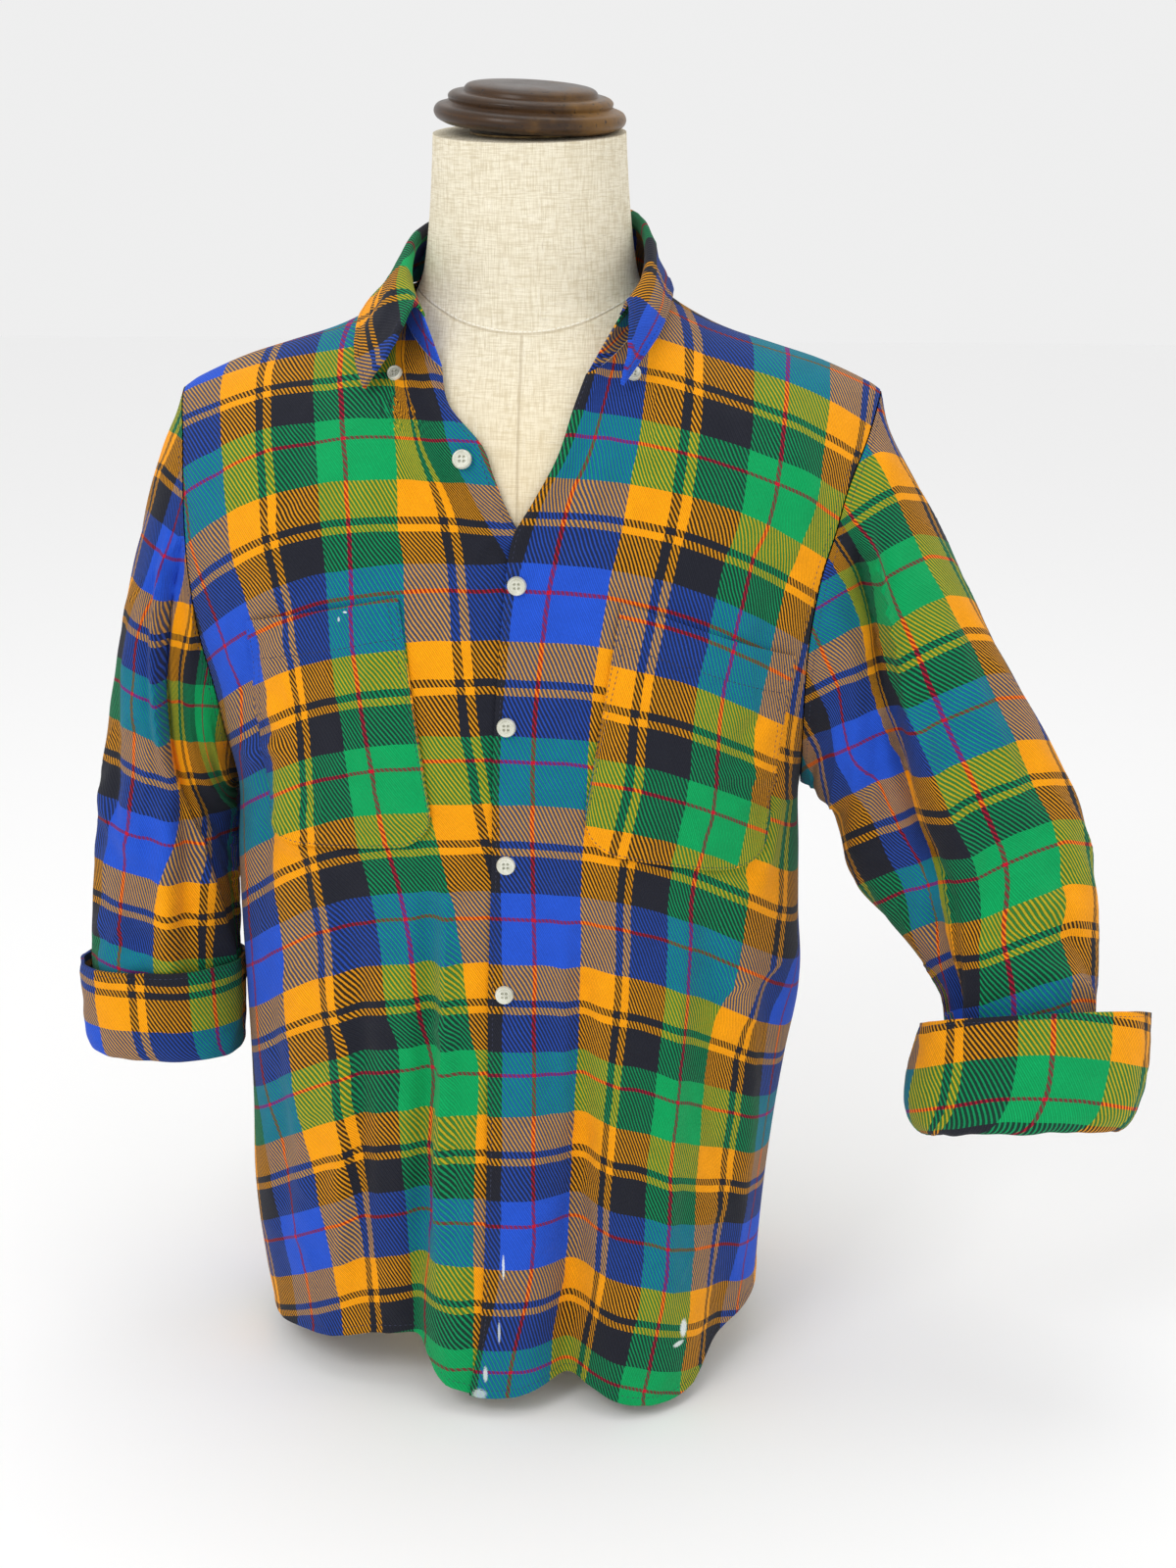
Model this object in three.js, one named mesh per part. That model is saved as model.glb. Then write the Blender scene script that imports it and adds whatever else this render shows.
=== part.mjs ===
// Plaid flannel button-down shirt, worn by a limbless dress form.
// Millimetres, +Z up. The front of the shirt faces -Y, the wearer's left side is +X.
// The origin is the middle of the flat bottom that the form stands on.
// A surface point is (x, y, z), with the sides named by the wearer: right is -X, left is +X.

import * as THREE from "three";

// Cloth and gaps
const clothWall = 1.6; // brushed flannel, seams included
const seamGap = 0.36; // clear air between two pieces that are sewn together
const layGap = 0.5; // clear air under a piece that lies on a panel
const pocketGap = 1.2; // a pocket bridges the small hollows of the panel under it
const lapGap = 1.2; // clear air between the two fronts where they lap
const armholeGap = 0.8;
const collarGap = 0.8;
const collarBackGap = 1.6; // the yoke curves up under the stand at the back
const collarRise = { end: 0.8, over: 0.2 }; // where along the collar the gap grows to that
const lapWidth = 36; // how far the two fronts lie over each other
const lapSink = { before: 16, over: 12 }; // where the right front sinks under the left one's edge
const turnedWall = 4.2; // a turned-back cuff is several layers thick

// Heights
const chestZ = 534; // widest chest, where the shoulder slopes begin
const armpitZ = 388;
const shoulderTipZ = 637;
const yokeSeamZ = 592;
const frontEndZ = 661; // where the front edges meet the collar
const clothAboveChest = 240; // from the chest up to the shoulder, along the cloth

// Body sections: half widths to the wearer's right and left, depths to the front and back
const bodySections = [
  { z: 0, right: 178, left: 150, front: 119, back: 150 },
  { z: 50, right: 186, left: 151, front: 120, back: 149 },
  { z: 110, right: 191, left: 155, front: 121, back: 147 },
  { z: 165, right: 190, left: 161, front: 122, back: 145 },
  { z: 207, right: 190, left: 167, front: 122, back: 143 },
  { z: 256, right: 191, left: 175, front: 123, back: 140 },
  { z: 300, right: 192, left: 173, front: 123, back: 137 },
  { z: 345, right: 192, left: 172, front: 124, back: 134 },
  { z: armpitZ, right: 190, left: 171, front: 124, back: 132 },
  { z: 420, right: 197, left: 177, front: 124, back: 130 },
  { z: 454, right: 208, left: 187, front: 122, back: 127 },
  { z: 494, right: 222, left: 197, front: 118, back: 124 },
  { z: chestZ, right: 232, left: 208, front: 113, back: 121 },
];
const sectionSquareness = 2.35; // 2 is an ellipse, more is boxier
const sleeveSquareness = 2.3;

// Armhole seam: distance of the seam from the middle plane
const armholeSeam = [
  { z: armpitZ, right: 190, left: 171 },
  { z: 403, right: 190.5, left: 171 },
  { z: 454, right: 193.5, left: 171 },
  { z: 494, right: 201.5, left: 173 },
  { z: 533, right: 205.5, left: 179 },
  { z: 560, right: 207, left: 187 },
  { z: 586, right: 208, left: 194 },
  { z: 614, right: 210, left: 206 },
  { z: shoulderTipZ, right: 215, left: 214 },
];

// Height of the shoulder ridge, and of the domes that the front and back rise towards
const shoulderRidge = [
  { x: 0, front: 712, back: 743 },
  { x: 40, front: 712, back: 732 },
  { x: 60, front: 706, back: 716 },
  { x: 80, front: 697, back: 697 },
  { x: 100, front: 684, back: 684 },
  { x: 120, front: 674.5, back: 674.5 },
  { x: 150, front: 665, back: 665 },
  { x: 178, front: 656, back: 656 },
  { x: 207, front: 643, back: 643 },
  { x: 216, front: shoulderTipZ, back: shoulderTipZ },
];
const neckPointX = 80; // where the shoulder ridge meets the collar

// Height of the neckline, by distance from the middle plane
const neckline = [
  { x: 0, front: 650, back: 702 },
  { x: 41, front: 657, back: 702 },
  { x: 50, front: 662, back: 701.5 },
  { x: 60, front: 671, back: 700 },
  { x: 72, front: 685, back: 699 },
  { x: neckPointX, front: 697, back: 697 },
];

// Front edges: the left front lies on top, and the fronts fall open above the closed button
const leftFrontEdge = [
  { z: 0, x: -33 },
  { z: 14, x: -32 },
  { z: 59, x: -24.5 },
  { z: 128, x: -20.5 },
  { z: 229, x: -18.5 },
  { z: 284, x: -18 },
  { z: 368, x: -15 },
  { z: 453, x: -12.5 },
  { z: 538, x: -6 },
  { z: 566, x: -1 },
  { z: 585, x: 10 },
  { z: 611, x: 24 },
  { z: 639, x: 33 },
  { z: 661, x: 41 },
];
const rightFrontOpenEdge = [
  { z: 520, x: 28 },
  { z: 545, x: 22 },
  { z: 566, x: 3 },
  { z: 583, x: -6 },
  { z: 600, x: -13 },
  { z: 617, x: -20 },
  { z: 639, x: -40 },
  { z: 661, x: -46 },
];

// Hem height, by signed place along the front and along the back
const frontHem = [
  { x: -192, z: 14 },
  { x: -178, z: 17 },
  { x: -150, z: 27 },
  { x: -121, z: 34 },
  { x: -90, z: 41 },
  { x: -66, z: 40 },
  { x: -52, z: 24 },
  { x: -30, z: 15 },
  { x: -5, z: 15 },
  { x: 19, z: 20 },
  { x: 38, z: 21 },
  { x: 57, z: 15 },
  { x: 76, z: 10 },
  { x: 100, z: 8.5 },
  { x: 115, z: 14 },
  { x: 124, z: 27 },
  { x: 137, z: 34 },
  { x: 152, z: 38 },
];
const backHem = [
  { x: -192, z: 14 },
  { x: -150, z: 22 },
  { x: -90, z: 13 },
  { x: 0, z: 9 },
  { x: 80, z: 14 },
  { x: 125, z: 27 },
  { x: 152, z: 38 },
];

// Largest folds: middle at the top and bottom, reach to each side, height at the hem end.
// A square value of 2 is a round fold, 4 is a boxy flute with steep sides.
const frontFolds = [
  { name: "centre flute", topZ: 360, topX: -20, bottomX: -19, reach: 40, height: 22, square: 4 },
  { name: "left flute", topZ: 330, topX: 96, bottomX: 80, reach: 40, height: 27, square: 4 },
  { name: "placket crease", topZ: 420, topX: -46, bottomX: -68, reach: 11, height: -9, square: 2 },
  { name: "right side roll", topZ: 330, topX: -140, bottomX: -138, reach: 26, height: 7, square: 2 },
  { name: "left flute crease", topZ: 420, topX: 34, bottomX: 28, reach: 11, height: -7, square: 2 },
  { name: "left side crease", topZ: 300, topX: 128, bottomX: 128, reach: 9, height: -8, square: 2 },
];
const backFolds = [
  { name: "right back flute", topZ: 470, topX: -84, bottomX: -96, reach: 30, height: 13, square: 2 },
  { name: "right back crease", topZ: 430, topX: -48, bottomX: -50, reach: 15, height: -9, square: 2 },
  { name: "middle back flute", topZ: 500, topX: -8, bottomX: -2, reach: 28, height: 11, square: 2 },
  { name: "left back crease", topZ: 440, topX: 40, bottomX: 46, reach: 15, height: -10, square: 2 },
  { name: "left back flute", topZ: 480, topX: 76, bottomX: 90, reach: 28, height: 14, square: 2 },
];
const dragFold = { topZ: 650, topX: -80, bottomZ: 560, bottomX: -22, reach: 12, height: 3.5 };

// Sleeve sections: the outer and inner point of each section, how far it reaches to the front
// and back of the line between them, how far forward its middle lies, and how much higher
// its front is than its middle
const rightSleeve = [
  { outX: 222, outZ: 616, inX: 192.5, inZ: 386, reach: 62, forward: 1, lean: 0 },
  { outX: 236, outZ: 581, inX: 194, inZ: 383, reach: 62, forward: 3, lean: 0 },
  { outX: 250, outZ: 536, inX: 195, inZ: 380, reach: 61, forward: 5, lean: 0 },
  { outX: 260, outZ: 484, inX: 195.5, inZ: 374, reach: 60, forward: 7, lean: 0 },
  { outX: 267, outZ: 430, inX: 195.5, inZ: 364, reach: 58, forward: 9, lean: 1 },
  { outX: 274, outZ: 387, inX: 195, inZ: 346, reach: 56, forward: 12, lean: 2 },
  { outX: 282, outZ: 346, inX: 195, inZ: 322, reach: 52, forward: 15, lean: 3 },
  { outX: 288, outZ: 306, inX: 194.8, inZ: 294, reach: 47, forward: 18, lean: 4 },
  { outX: 291, outZ: 270, inX: 196.4, inZ: 266, reach: 43, forward: 21, lean: 5 },
  { outX: 290, outZ: 240, inX: 198, inZ: 239, reach: 40, forward: 23, lean: 5 },
  { outX: 288, outZ: 212, inX: 199, inZ: 210, reach: 39, forward: 24, lean: 5 },
];
const leftSleeve = [
  { outX: 221, outZ: 611, inX: 174, inZ: 385, reach: 62, forward: 1, lean: 0 },
  { outX: 241, outZ: 575, inX: 179, inZ: 383, reach: 61, forward: 3, lean: 0 },
  { outX: 266, outZ: 530, inX: 186, inZ: 380, reach: 60, forward: 6, lean: 0 },
  { outX: 296, outZ: 474, inX: 195, inZ: 373, reach: 59, forward: 10, lean: 1 },
  { outX: 324, outZ: 420, inX: 199, inZ: 350, reach: 57, forward: 15, lean: 3 },
  { outX: 347, outZ: 378, inX: 208, inZ: 327, reach: 53, forward: 22, lean: 7 },
  { outX: 355, outZ: 338, inX: 228, inZ: 305, reach: 49, forward: 32, lean: 12 },
  { outX: 356, outZ: 304, inX: 247, inZ: 286, reach: 45, forward: 44, lean: 17 },
  { outX: 357, outZ: 270, inX: 264, inZ: 262, reach: 42, forward: 56, lean: 20 },
  { outX: 358, outZ: 236, inX: 269, inZ: 228, reach: 40, forward: 66, lean: 21 },
  { outX: 358, outZ: 196, inX: 271, inZ: 190, reach: 39, forward: 77, lean: 21 },
];

// Turned-back cuffs: sections from the sleeve's end, round the bottom fold, to the free edge
const rightCuff = [
  { outX: 283.5, outZ: 210.8, inX: 203.5, inZ: 208.8, reach: 34.5, forward: 24, lean: 5 },
  { outX: 289, outZ: 205, inX: 199.5, inZ: 203, reach: 40, forward: 24, lean: 5 },
  { outX: 292, outZ: 214, inX: 197.6, inZ: 212, reach: 43, forward: 24, lean: 5 },
  { outX: 294, outZ: 239, inX: 196.6, inZ: 239, reach: 44, forward: 23, lean: 5 },
  { outX: 294, outZ: 264, inX: 195.6, inZ: 266, reach: 45, forward: 21, lean: 5 },
];
const leftCuff = [
  { outX: 353, outZ: 192.8, inX: 275.6, inZ: 186.8, reach: 34.5, forward: 79, lean: 21 },
  { outX: 369, outZ: 184, inX: 261, inZ: 178, reach: 43, forward: 80, lean: 22 },
  { outX: 380, outZ: 194, inX: 250, inZ: 186, reach: 49, forward: 78, lean: 24 },
  { outX: 387, outZ: 222, inX: 246, inZ: 209, reach: 52, forward: 72, lean: 26 },
  { outX: 388, outZ: 257, inX: 255, inZ: 247, reach: 51, forward: 62, lean: 26 },
];

// Collar, by side: along runs from the middle of the back to the front end of the stand.
// fold is the top of the stand, roll the fullest point of the leaf, edge its free edge.
const collarColumns = "along foldX foldY foldZ rollX rollY rollZ edgeX edgeY edgeZ".split(" ");
const collarRow = (...values) => Object.fromEntries(collarColumns.map((name, i) => [name, values[i]]));
const rightCollar = [
  collarRow(0, 0, 67, 738, 0, 76, 722, 0, 89, 696),
  collarRow(0.28, 48, 46, 737, 57, 54, 720, 70, 60, 697),
  collarRow(0.5, 66, 4, 729, 76, 5, 712, 91, 8, 695),
  collarRow(0.68, 69, -28, 718, 83, -33, 702, 99, -32, 684),
  collarRow(0.85, 66, -56, 705, 80, -69, 692, 97, -69, 665),
  collarRow(1, 58, -77, 692, 70, -95, 676, 90, -83, 647),
];
const leftCollar = [
  collarRow(0, 0, 67, 738, 0, 76, 722, 0, 89, 696),
  collarRow(0.28, 48, 46, 740, 56, 54, 724, 66, 60, 698),
  collarRow(0.5, 66, 6, 735, 74, 7, 720, 84, 8, 699),
  collarRow(0.68, 72, -26, 722, 80, -32, 706, 85, -33, 691),
  collarRow(0.85, 71, -54, 707, 77, -66, 693, 78, -72, 675),
  collarRow(1, 63, -76, 694, 65, -94, 677, 60, -88, 651),
];
const standLevels = [0, 0.33, 0.66, 1];
const standTopShare = 0.84; // the leaf's roll covers the rest
const leafInset = 0.12; // how far the leaf's inner edge lies towards the fold
const crownShare = 0.2; // the leaf's top lies this far from the fold to its roll
const crownLift = 2; // and stands this far above the fold
const leafLevels = [0, 0.1, 0.2, 0.4, 0.64, 0.84, 1]; // places along the leaf's section

// Patch pockets on the fronts: corners by distance from the middle plane and height
const rightPocket = { outTop: [165, 508], inTop: [69, 529], inBottom: [48, 379], outBottom: [156, 368] };
const leftPocket = { outTop: [163, 489], inTop: [62, 528], inBottom: [38, 379], outBottom: [144, 353] };
const pocketCorner = 24; // rounding of the bottom corners
const cornerDepth = 0.9; // a corner is a little flatter than a quarter circle
const pocketCells = 8;

// Buttons
const buttonRadius = 5.8;
const collarButtonRadius = 4.6;
const buttonHeight = 2.6;
const buttonSides = 14;
// A button's section, back to front, in shares of its radius and height
const buttonProfile = [
  { out: 0, up: 0 },
  { out: 0.86, up: 0 },
  { out: 1, up: 0.45 },
  { out: 0.9, up: 1 },
  { out: 0.66, up: 0.72 },
  { out: 0, up: 0.66 },
];
const buttonsOnLeftFront = [
  { name: "button_2", x: 0.9, z: 537 },
  { name: "button_3", x: -5.2, z: 453.5 },
  { name: "button_4", x: -6.1, z: 368 },
  { name: "button_5", x: -7.7, z: 285 },
];
const openButton = { name: "button_1", x: -31, z: 608.5 };
const collarButtons = [
  { name: "collar_button_right", side: -1, x: -73.5, z: 655 },
  { name: "collar_button_left", side: 1, x: 66.5, z: 656 },
];

// Dress form: torso and neck sections, then the wooden neck cap
const formLevels = [
  0, 55, 110, 165, 220, 275, 330, 380, 430, 490, chestZ, 575, 605, 630, 645, 655, 663, 670, 677, 684,
];
const formSides = 32;

// How far the form lies under the cloth's outer face, from the neck out along the shoulders
const formUnderCloth = [
  { x: 0, depth: 6 },
  { x: 70, depth: 9 },
  { x: 85, depth: 6.5 },
  { x: 105, depth: 3.6 },
  { x: 216, depth: 3.2 },
];
const formChest = { width: 180, depth: 108 };
const formSections = [
  { z: 0, width: 100, front: 42, back: 90 },
  { z: 55, width: 122, front: 74, back: 102 },
  { z: 110, width: 134, front: 90, back: 110 },
  { z: 220, width: 134, front: 98, back: 112 },
  { z: 330, width: 136, front: 103, back: 108 },
  { z: 430, width: 158, front: 110, back: 110 },
  { z: 490, width: 172, front: 110, back: 112 },
];
const neckSections = [
  { z: 694, width: 71, front: 60, back: 65 },
  { z: 704, width: 66.5, front: 60, back: 63 },
  { z: 715, width: 64, front: 60, back: 62 },
  { z: 730, width: 62, front: 60, back: 61 },
  { z: 752, width: 60, front: 59, back: 59 },
  { z: 775, width: 58.6, front: 58, back: 58 },
];
const rimZ = 789.5;
const rimRadius = 58;
const rimSlope = 0.08; // the neck's cut leans down towards the front
const discRadius = 36;
const discHeight = 1.1;
const capTilt = THREE.MathUtils.degToRad(3.6); // the cap sits crooked, up on the wearer's right
const capRadius = 57.6;
const capSides = 36;

// Turned cap from its foot to its top: how far each bead and step lies inside the full radius
const capProfile = [
  { inset: 6, up: 0 },
  { inset: 1.6, up: 2.4 },
  { inset: 0, up: 6 },
  { inset: 1.6, up: 9.6 },
  { inset: 6.5, up: 11.6 },
  { inset: 8.6, up: 12.8 },
  { inset: 8.2, up: 15.4 },
  { inset: 10.5, up: 17.6 },
  { inset: 17, up: 18.6 },
  { inset: 18.6, up: 21.4 },
  { inset: 22, up: 23 },
];
const capHeight = 24;

// Grid sizes
const frontColumns = 20;
const lowerRows = 16;
const upperRows = 7;
const backColumns = 28;
const backLowerRows = 12;
const yokeRows = 5;
const sleeveSides = 20;
const collarStations = 26;
const sideCrowding = 0.6; // how much a panel's columns crowd towards its side seam
const settlePasses = 6; // a panel's place and its edges depend on each other
const searchStep = 0.25;
const neckReach = 0.999; // reads the neckline just inside its end

// Smooth reading of a table of rows: a cubic through the rows beside the key
function readTable(rows, keyName, columnName, key) {
  const last = rows.length - 1;
  if (key <= rows[0][keyName]) return rows[0][columnName];
  if (key >= rows[last][keyName]) return rows[last][columnName];
  let index = 0;
  while (rows[index + 1][keyName] < key) index += 1;
  const slopeAt = (i) => {
    const low = Math.max(i - 1, 0);
    const high = Math.min(i + 1, last);
    return (rows[high][columnName] - rows[low][columnName]) / (rows[high][keyName] - rows[low][keyName]);
  };
  const step = rows[index + 1][keyName] - rows[index][keyName];
  const t = (key - rows[index][keyName]) / step;
  const start = rows[index][columnName];
  const end = rows[index + 1][columnName];
  const blend = t * t * (3 - 2 * t);
  const startPull = t * (1 - t) * (1 - t) * step * slopeAt(index);
  const endPull = t * t * (t - 1) * step * slopeAt(index + 1);
  return start + (end - start) * blend + startPull + endPull;
}

function smoothStep(t) {
  const clamped = Math.min(Math.max(t, 0), 1);
  return clamped * clamped * (3 - 2 * clamped);
}

const sideName = (side) => (side < 0 ? "right" : "left");

// Sum of the folds that cross a point of the front or back
function foldHeight(folds, x, z) {
  let sum = 0;
  for (const fold of folds) {
    if (z >= fold.topZ) continue;
    const down = (fold.topZ - z) / fold.topZ;
    const middle = fold.topX + (fold.bottomX - fold.topX) * down;
    const away = Math.abs(x - middle) / fold.reach;
    sum += fold.height * smoothStep(down) * Math.exp(-(away ** fold.square));
  }
  return sum;
}

function dragHeight(x, z) {
  const down = (dragFold.topZ - z) / (dragFold.topZ - dragFold.bottomZ);
  if (down <= 0 || down >= 1) return 0;
  const middle = dragFold.topX + (dragFold.bottomX - dragFold.topX) * down;
  const away = (x - middle) / dragFold.reach;
  return dragFold.height * Math.sin(Math.PI * down) ** 2 * Math.exp(-away * away);
}

// How far a body section reaches from the middle plane, to the front or the back
function bodyDepth(face, x, z) {
  const level = Math.min(z, chestZ);
  const width = readTable(bodySections, "z", x < 0 ? "right" : "left", level);
  const depth = readTable(bodySections, "z", face, level);
  const across = Math.min(Math.abs(x) / width, 1);
  const roundness = (1 - across ** sectionSquareness) ** (1 / sectionSquareness);
  const folds = foldHeight(face === "front" ? frontFolds : backFolds, x, z);
  const drag = face === "front" ? dragHeight(x, z) : 0;
  const calmSides = 1 - across ** 8;
  let reach = depth * roundness + (folds + drag) * calmSides;
  if (z > chestZ) {
    const dome = readTable(shoulderRidge, "x", face, Math.abs(x));
    const up = Math.min((z - chestZ) / (dome - chestZ), 1);
    reach *= Math.sqrt(1 - up * up);
  }
  return reach;
}

// The right front lies under the left one at the lap, one wall deeper
function lapInset(x, z) {
  const edge = readTable(leftFrontEdge, "z", "x", z);
  const inside = smoothStep((x - edge + lapSink.before) / lapSink.over);
  return (clothWall + lapGap) * inside;
}

function topEdgeZ(face, x) {
  const away = Math.abs(x);
  if (away < neckPointX) return readTable(neckline, "x", face, away);
  return readTable(shoulderRidge, "x", face, away);
}

function frontEdgeX(side, z) {
  if (side > 0) return readTable(leftFrontEdge, "z", "x", z);
  const lapped = readTable(leftFrontEdge, "z", "x", z) + lapWidth;
  if (z < rightFrontOpenEdge[0].z) return lapped;
  return readTable(rightFrontOpenEdge, "z", "x", z);
}

function seamX(side, z) {
  const name = sideName(side);
  if (z < armpitZ) return side * readTable(bodySections, "z", name, z);
  return side * readTable(armholeSeam, "z", name, z);
}

// A point of a panel. across runs from its inner edge to the side, up from 0 at the hem
// through 1 at the chest to 2 at the shoulder.
function panelPoint(face, side, across, up) {
  const spread = (1 - sideCrowding) * across + sideCrowding * Math.sin((across * Math.PI) / 2);
  const hemRows = face === "front" ? frontHem : backHem;
  let z = chestZ;
  let x = 0;
  for (let pass = 0; pass < settlePasses; pass += 1) {
    const edge = face === "front" ? frontEdgeX(side, z) : 0;
    x = edge + (seamX(side, z) - edge) * spread;
    if (up <= 1) {
      const hem = readTable(hemRows, "x", "z", x);
      z = hem + (chestZ - hem) * up;
    } else {
      z = chestZ + (topEdgeZ(face, x) - chestZ) * Math.sin(((up - 1) * Math.PI) / 2);
    }
  }
  return surfacePoint(face, side, x, z);
}

function surfacePoint(face, side, x, z) {
  const inset = face === "front" && side < 0 ? lapInset(x, z) : 0;
  const y = bodyDepth(face, x, z) - inset + seamGap / 2;
  return new THREE.Vector3(x, face === "front" ? -y : y, z);
}

// Outward direction of a front at a place
function frontNormal(side, x, z) {
  const step = 2;
  const point = (px, pz) => surfacePoint("front", side, px, pz);
  const along = point(x + step, z).sub(point(x - step, z));
  const up = point(x, z + step).sub(point(x, z - step));
  return along.cross(up).normalize();
}

// Solid made of a grid of outer points and the same grid moved in by the wall
function wallSolid(outer, inner, closed) {
  const rows = outer.length;
  const columns = outer[0].length;
  const positions = [];
  for (const grid of [outer, inner]) {
    for (const row of grid) {
      for (const point of row) positions.push(point.x, point.y, point.z);
    }
  }
  const at = (layer, row, column) => layer * rows * columns + row * columns + (column % columns);
  const faces = [];
  const quad = (a, b, c, d) => faces.push(a, b, c, a, c, d);
  const cells = closed ? columns : columns - 1;
  for (let row = 0; row < rows - 1; row += 1) {
    for (let column = 0; column < cells; column += 1) {
      quad(at(0, row, column), at(0, row, column + 1), at(0, row + 1, column + 1), at(0, row + 1, column));
      quad(at(1, row, column), at(1, row + 1, column), at(1, row + 1, column + 1), at(1, row, column + 1));
    }
  }
  const top = rows - 1;
  for (let column = 0; column < cells; column += 1) {
    quad(at(0, 0, column), at(1, 0, column), at(1, 0, column + 1), at(0, 0, column + 1));
    quad(at(0, top, column), at(0, top, column + 1), at(1, top, column + 1), at(1, top, column));
  }
  if (!closed) {
    const end = columns - 1;
    for (let row = 0; row < top; row += 1) {
      quad(at(0, row, 0), at(0, row + 1, 0), at(1, row + 1, 0), at(1, row, 0));
      quad(at(0, row, end), at(1, row, end), at(1, row + 1, end), at(0, row + 1, end));
    }
  }
  return closedGeometry(positions, faces);
}

// Indexed geometry, turned so that its faces point out
function closedGeometry(positions, faces) {
  let volume = 0;
  const corner = (i) => new THREE.Vector3(positions[3 * i], positions[3 * i + 1], positions[3 * i + 2]);
  for (let i = 0; i < faces.length; i += 3) {
    const cross = corner(faces[i + 1]).cross(corner(faces[i + 2]));
    volume += corner(faces[i]).dot(cross);
  }
  if (volume < 0) faces.reverse();
  const geometry = new THREE.BufferGeometry();
  geometry.setAttribute("position", new THREE.Float32BufferAttribute(positions, 3));
  geometry.setIndex(faces);
  geometry.computeVertexNormals();
  return geometry;
}

// Direction across a grid at each point, from its neighbours
function gridNormals(grid, closed) {
  const rows = grid.length;
  const columns = grid[0].length;
  const pick = (row, column) => {
    const wrapped = closed ? (column + columns) % columns : Math.min(Math.max(column, 0), columns - 1);
    return grid[Math.min(Math.max(row, 0), rows - 1)][wrapped];
  };
  return grid.map((line, row) =>
    line.map((point, column) => {
      const along = pick(row, column + 1).clone().sub(pick(row, column - 1));
      const up = pick(row + 1, column).clone().sub(pick(row - 1, column));
      return along.cross(up).normalize();
    })
  );
}

function movedGrid(grid, normals, distance) {
  return grid.map((line, row) =>
    line.map((point, column) => point.clone().addScaledVector(normals[row][column], distance))
  );
}

// A grid of panel points with its outward normals
function panelGrid(face, side, acrossList, upList) {
  const grid = upList.map((up) => acrossList.map((across) => panelPoint(face, side, across, up)));
  const normals = gridNormals(grid, false);
  const outward = face === "front" ? -1 : 1;
  const flip = normals[2][2].y * outward < 0 ? -1 : 1;
  turnNormals(grid, normals, flip);
  return { grid, normals };
}

// Turns the normals outward. Where two panels meet in the plane between front and back,
// both ends of the wall stay on their own side of it.
function turnNormals(grid, normals, flip) {
  normals.forEach((line, row) =>
    line.forEach((normal, column) => {
      normal.multiplyScalar(flip);
      if (Math.abs(grid[row][column].y) < seamGap) normal.setY(0).normalize();
    })
  );
}

function steps(count, from, to) {
  return Array.from({ length: count + 1 }, (_, i) => from + ((to - from) * i) / count);
}

function frontPanel(side) {
  const rows = [...steps(lowerRows, 0, 1), ...steps(upperRows, 1, 2).slice(1)];
  const { grid, normals } = panelGrid("front", side, steps(frontColumns, 0, 1), rows);
  return wallSolid(grid, movedGrid(grid, normals, -clothWall), false);
}

// Both halves of a back panel in one grid, from the wearer's right side to the left
function backGrid(upRows) {
  const half = steps(backColumns / 2, 0, 1);
  const grid = upRows.map((up) => {
    const right = half.map((across) => panelPoint("back", -1, across, up)).reverse();
    const left = half.slice(1).map((across) => panelPoint("back", 1, across, up));
    return [...right, ...left];
  });
  const normals = gridNormals(grid, false);
  turnNormals(grid, normals, normals[2][2].y < 0 ? -1 : 1);
  return { grid, normals };
}

// How far up, from 1 to 2, the yoke seam lies on the middle of the back
const yokeSeamUp = 1 + (Math.asin((yokeSeamZ - chestZ) / (neckline[0].back - chestZ)) * 2) / Math.PI;

// Half the seam's gap as a share of the cloth from the chest to the shoulder
const halfSeamUp = seamGap / 2 / clothAboveChest;

function backPanel() {
  const seam = yokeSeamUp - halfSeamUp;
  const rows = [...steps(backLowerRows, 0, 1), ...steps(2, 1, seam).slice(1)];
  const { grid, normals } = backGrid(rows);
  return wallSolid(grid, movedGrid(grid, normals, -clothWall), false);
}

function yokePanel() {
  const rows = steps(yokeRows, yokeSeamUp + halfSeamUp, 2);
  const { grid, normals } = backGrid(rows);
  return wallSolid(grid, movedGrid(grid, normals, -clothWall), false);
}

// One section of a sleeve or cuff: a rounded loop between its outer and inner points
function sleeveLoop(side, section, grow) {
  const outer = new THREE.Vector3(side * section.outX, -section.forward, section.outZ);
  const inner = new THREE.Vector3(side * section.inX, -section.forward, section.inZ);
  const middle = outer.clone().add(inner).multiplyScalar(0.5);
  const half = outer.clone().sub(inner).multiplyScalar(0.5);
  half.multiplyScalar(1 + grow / half.length());
  const power = sleeveSquareness;
  return Array.from({ length: sleeveSides }, (_, i) => {
    const angle = (2 * Math.PI * i) / sleeveSides;
    const cosine = Math.cos(angle);
    const sine = Math.sin(angle);
    const radius = (Math.abs(cosine) ** power + Math.abs(sine) ** power) ** (-1 / power);
    const point = middle.clone().addScaledVector(half, cosine * radius);
    point.y -= sine * radius * (section.reach + grow);
    point.z += sine * radius * section.lean;
    return point;
  });
}

// The armhole seam as a loop, with its points at the same angles as a sleeve section
function armholeLoop(side, clear) {
  const middleZ = (shoulderTipZ + armpitZ) / 2;
  const halfZ = (shoulderTipZ - armpitZ) / 2;
  return Array.from({ length: sleeveSides }, (_, i) => {
    const angle = (2 * Math.PI * i) / sleeveSides;
    const z = middleZ + halfZ * Math.cos(angle);
    const x = seamX(side, z);
    const face = Math.sin(angle) >= 0 ? "front" : "back";
    const point = surfacePoint(face, side, x, z);
    if (i === 0 || 2 * i === sleeveSides) point.y = 0;
    point.x += side * clear;
    return point;
  });
}

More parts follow.
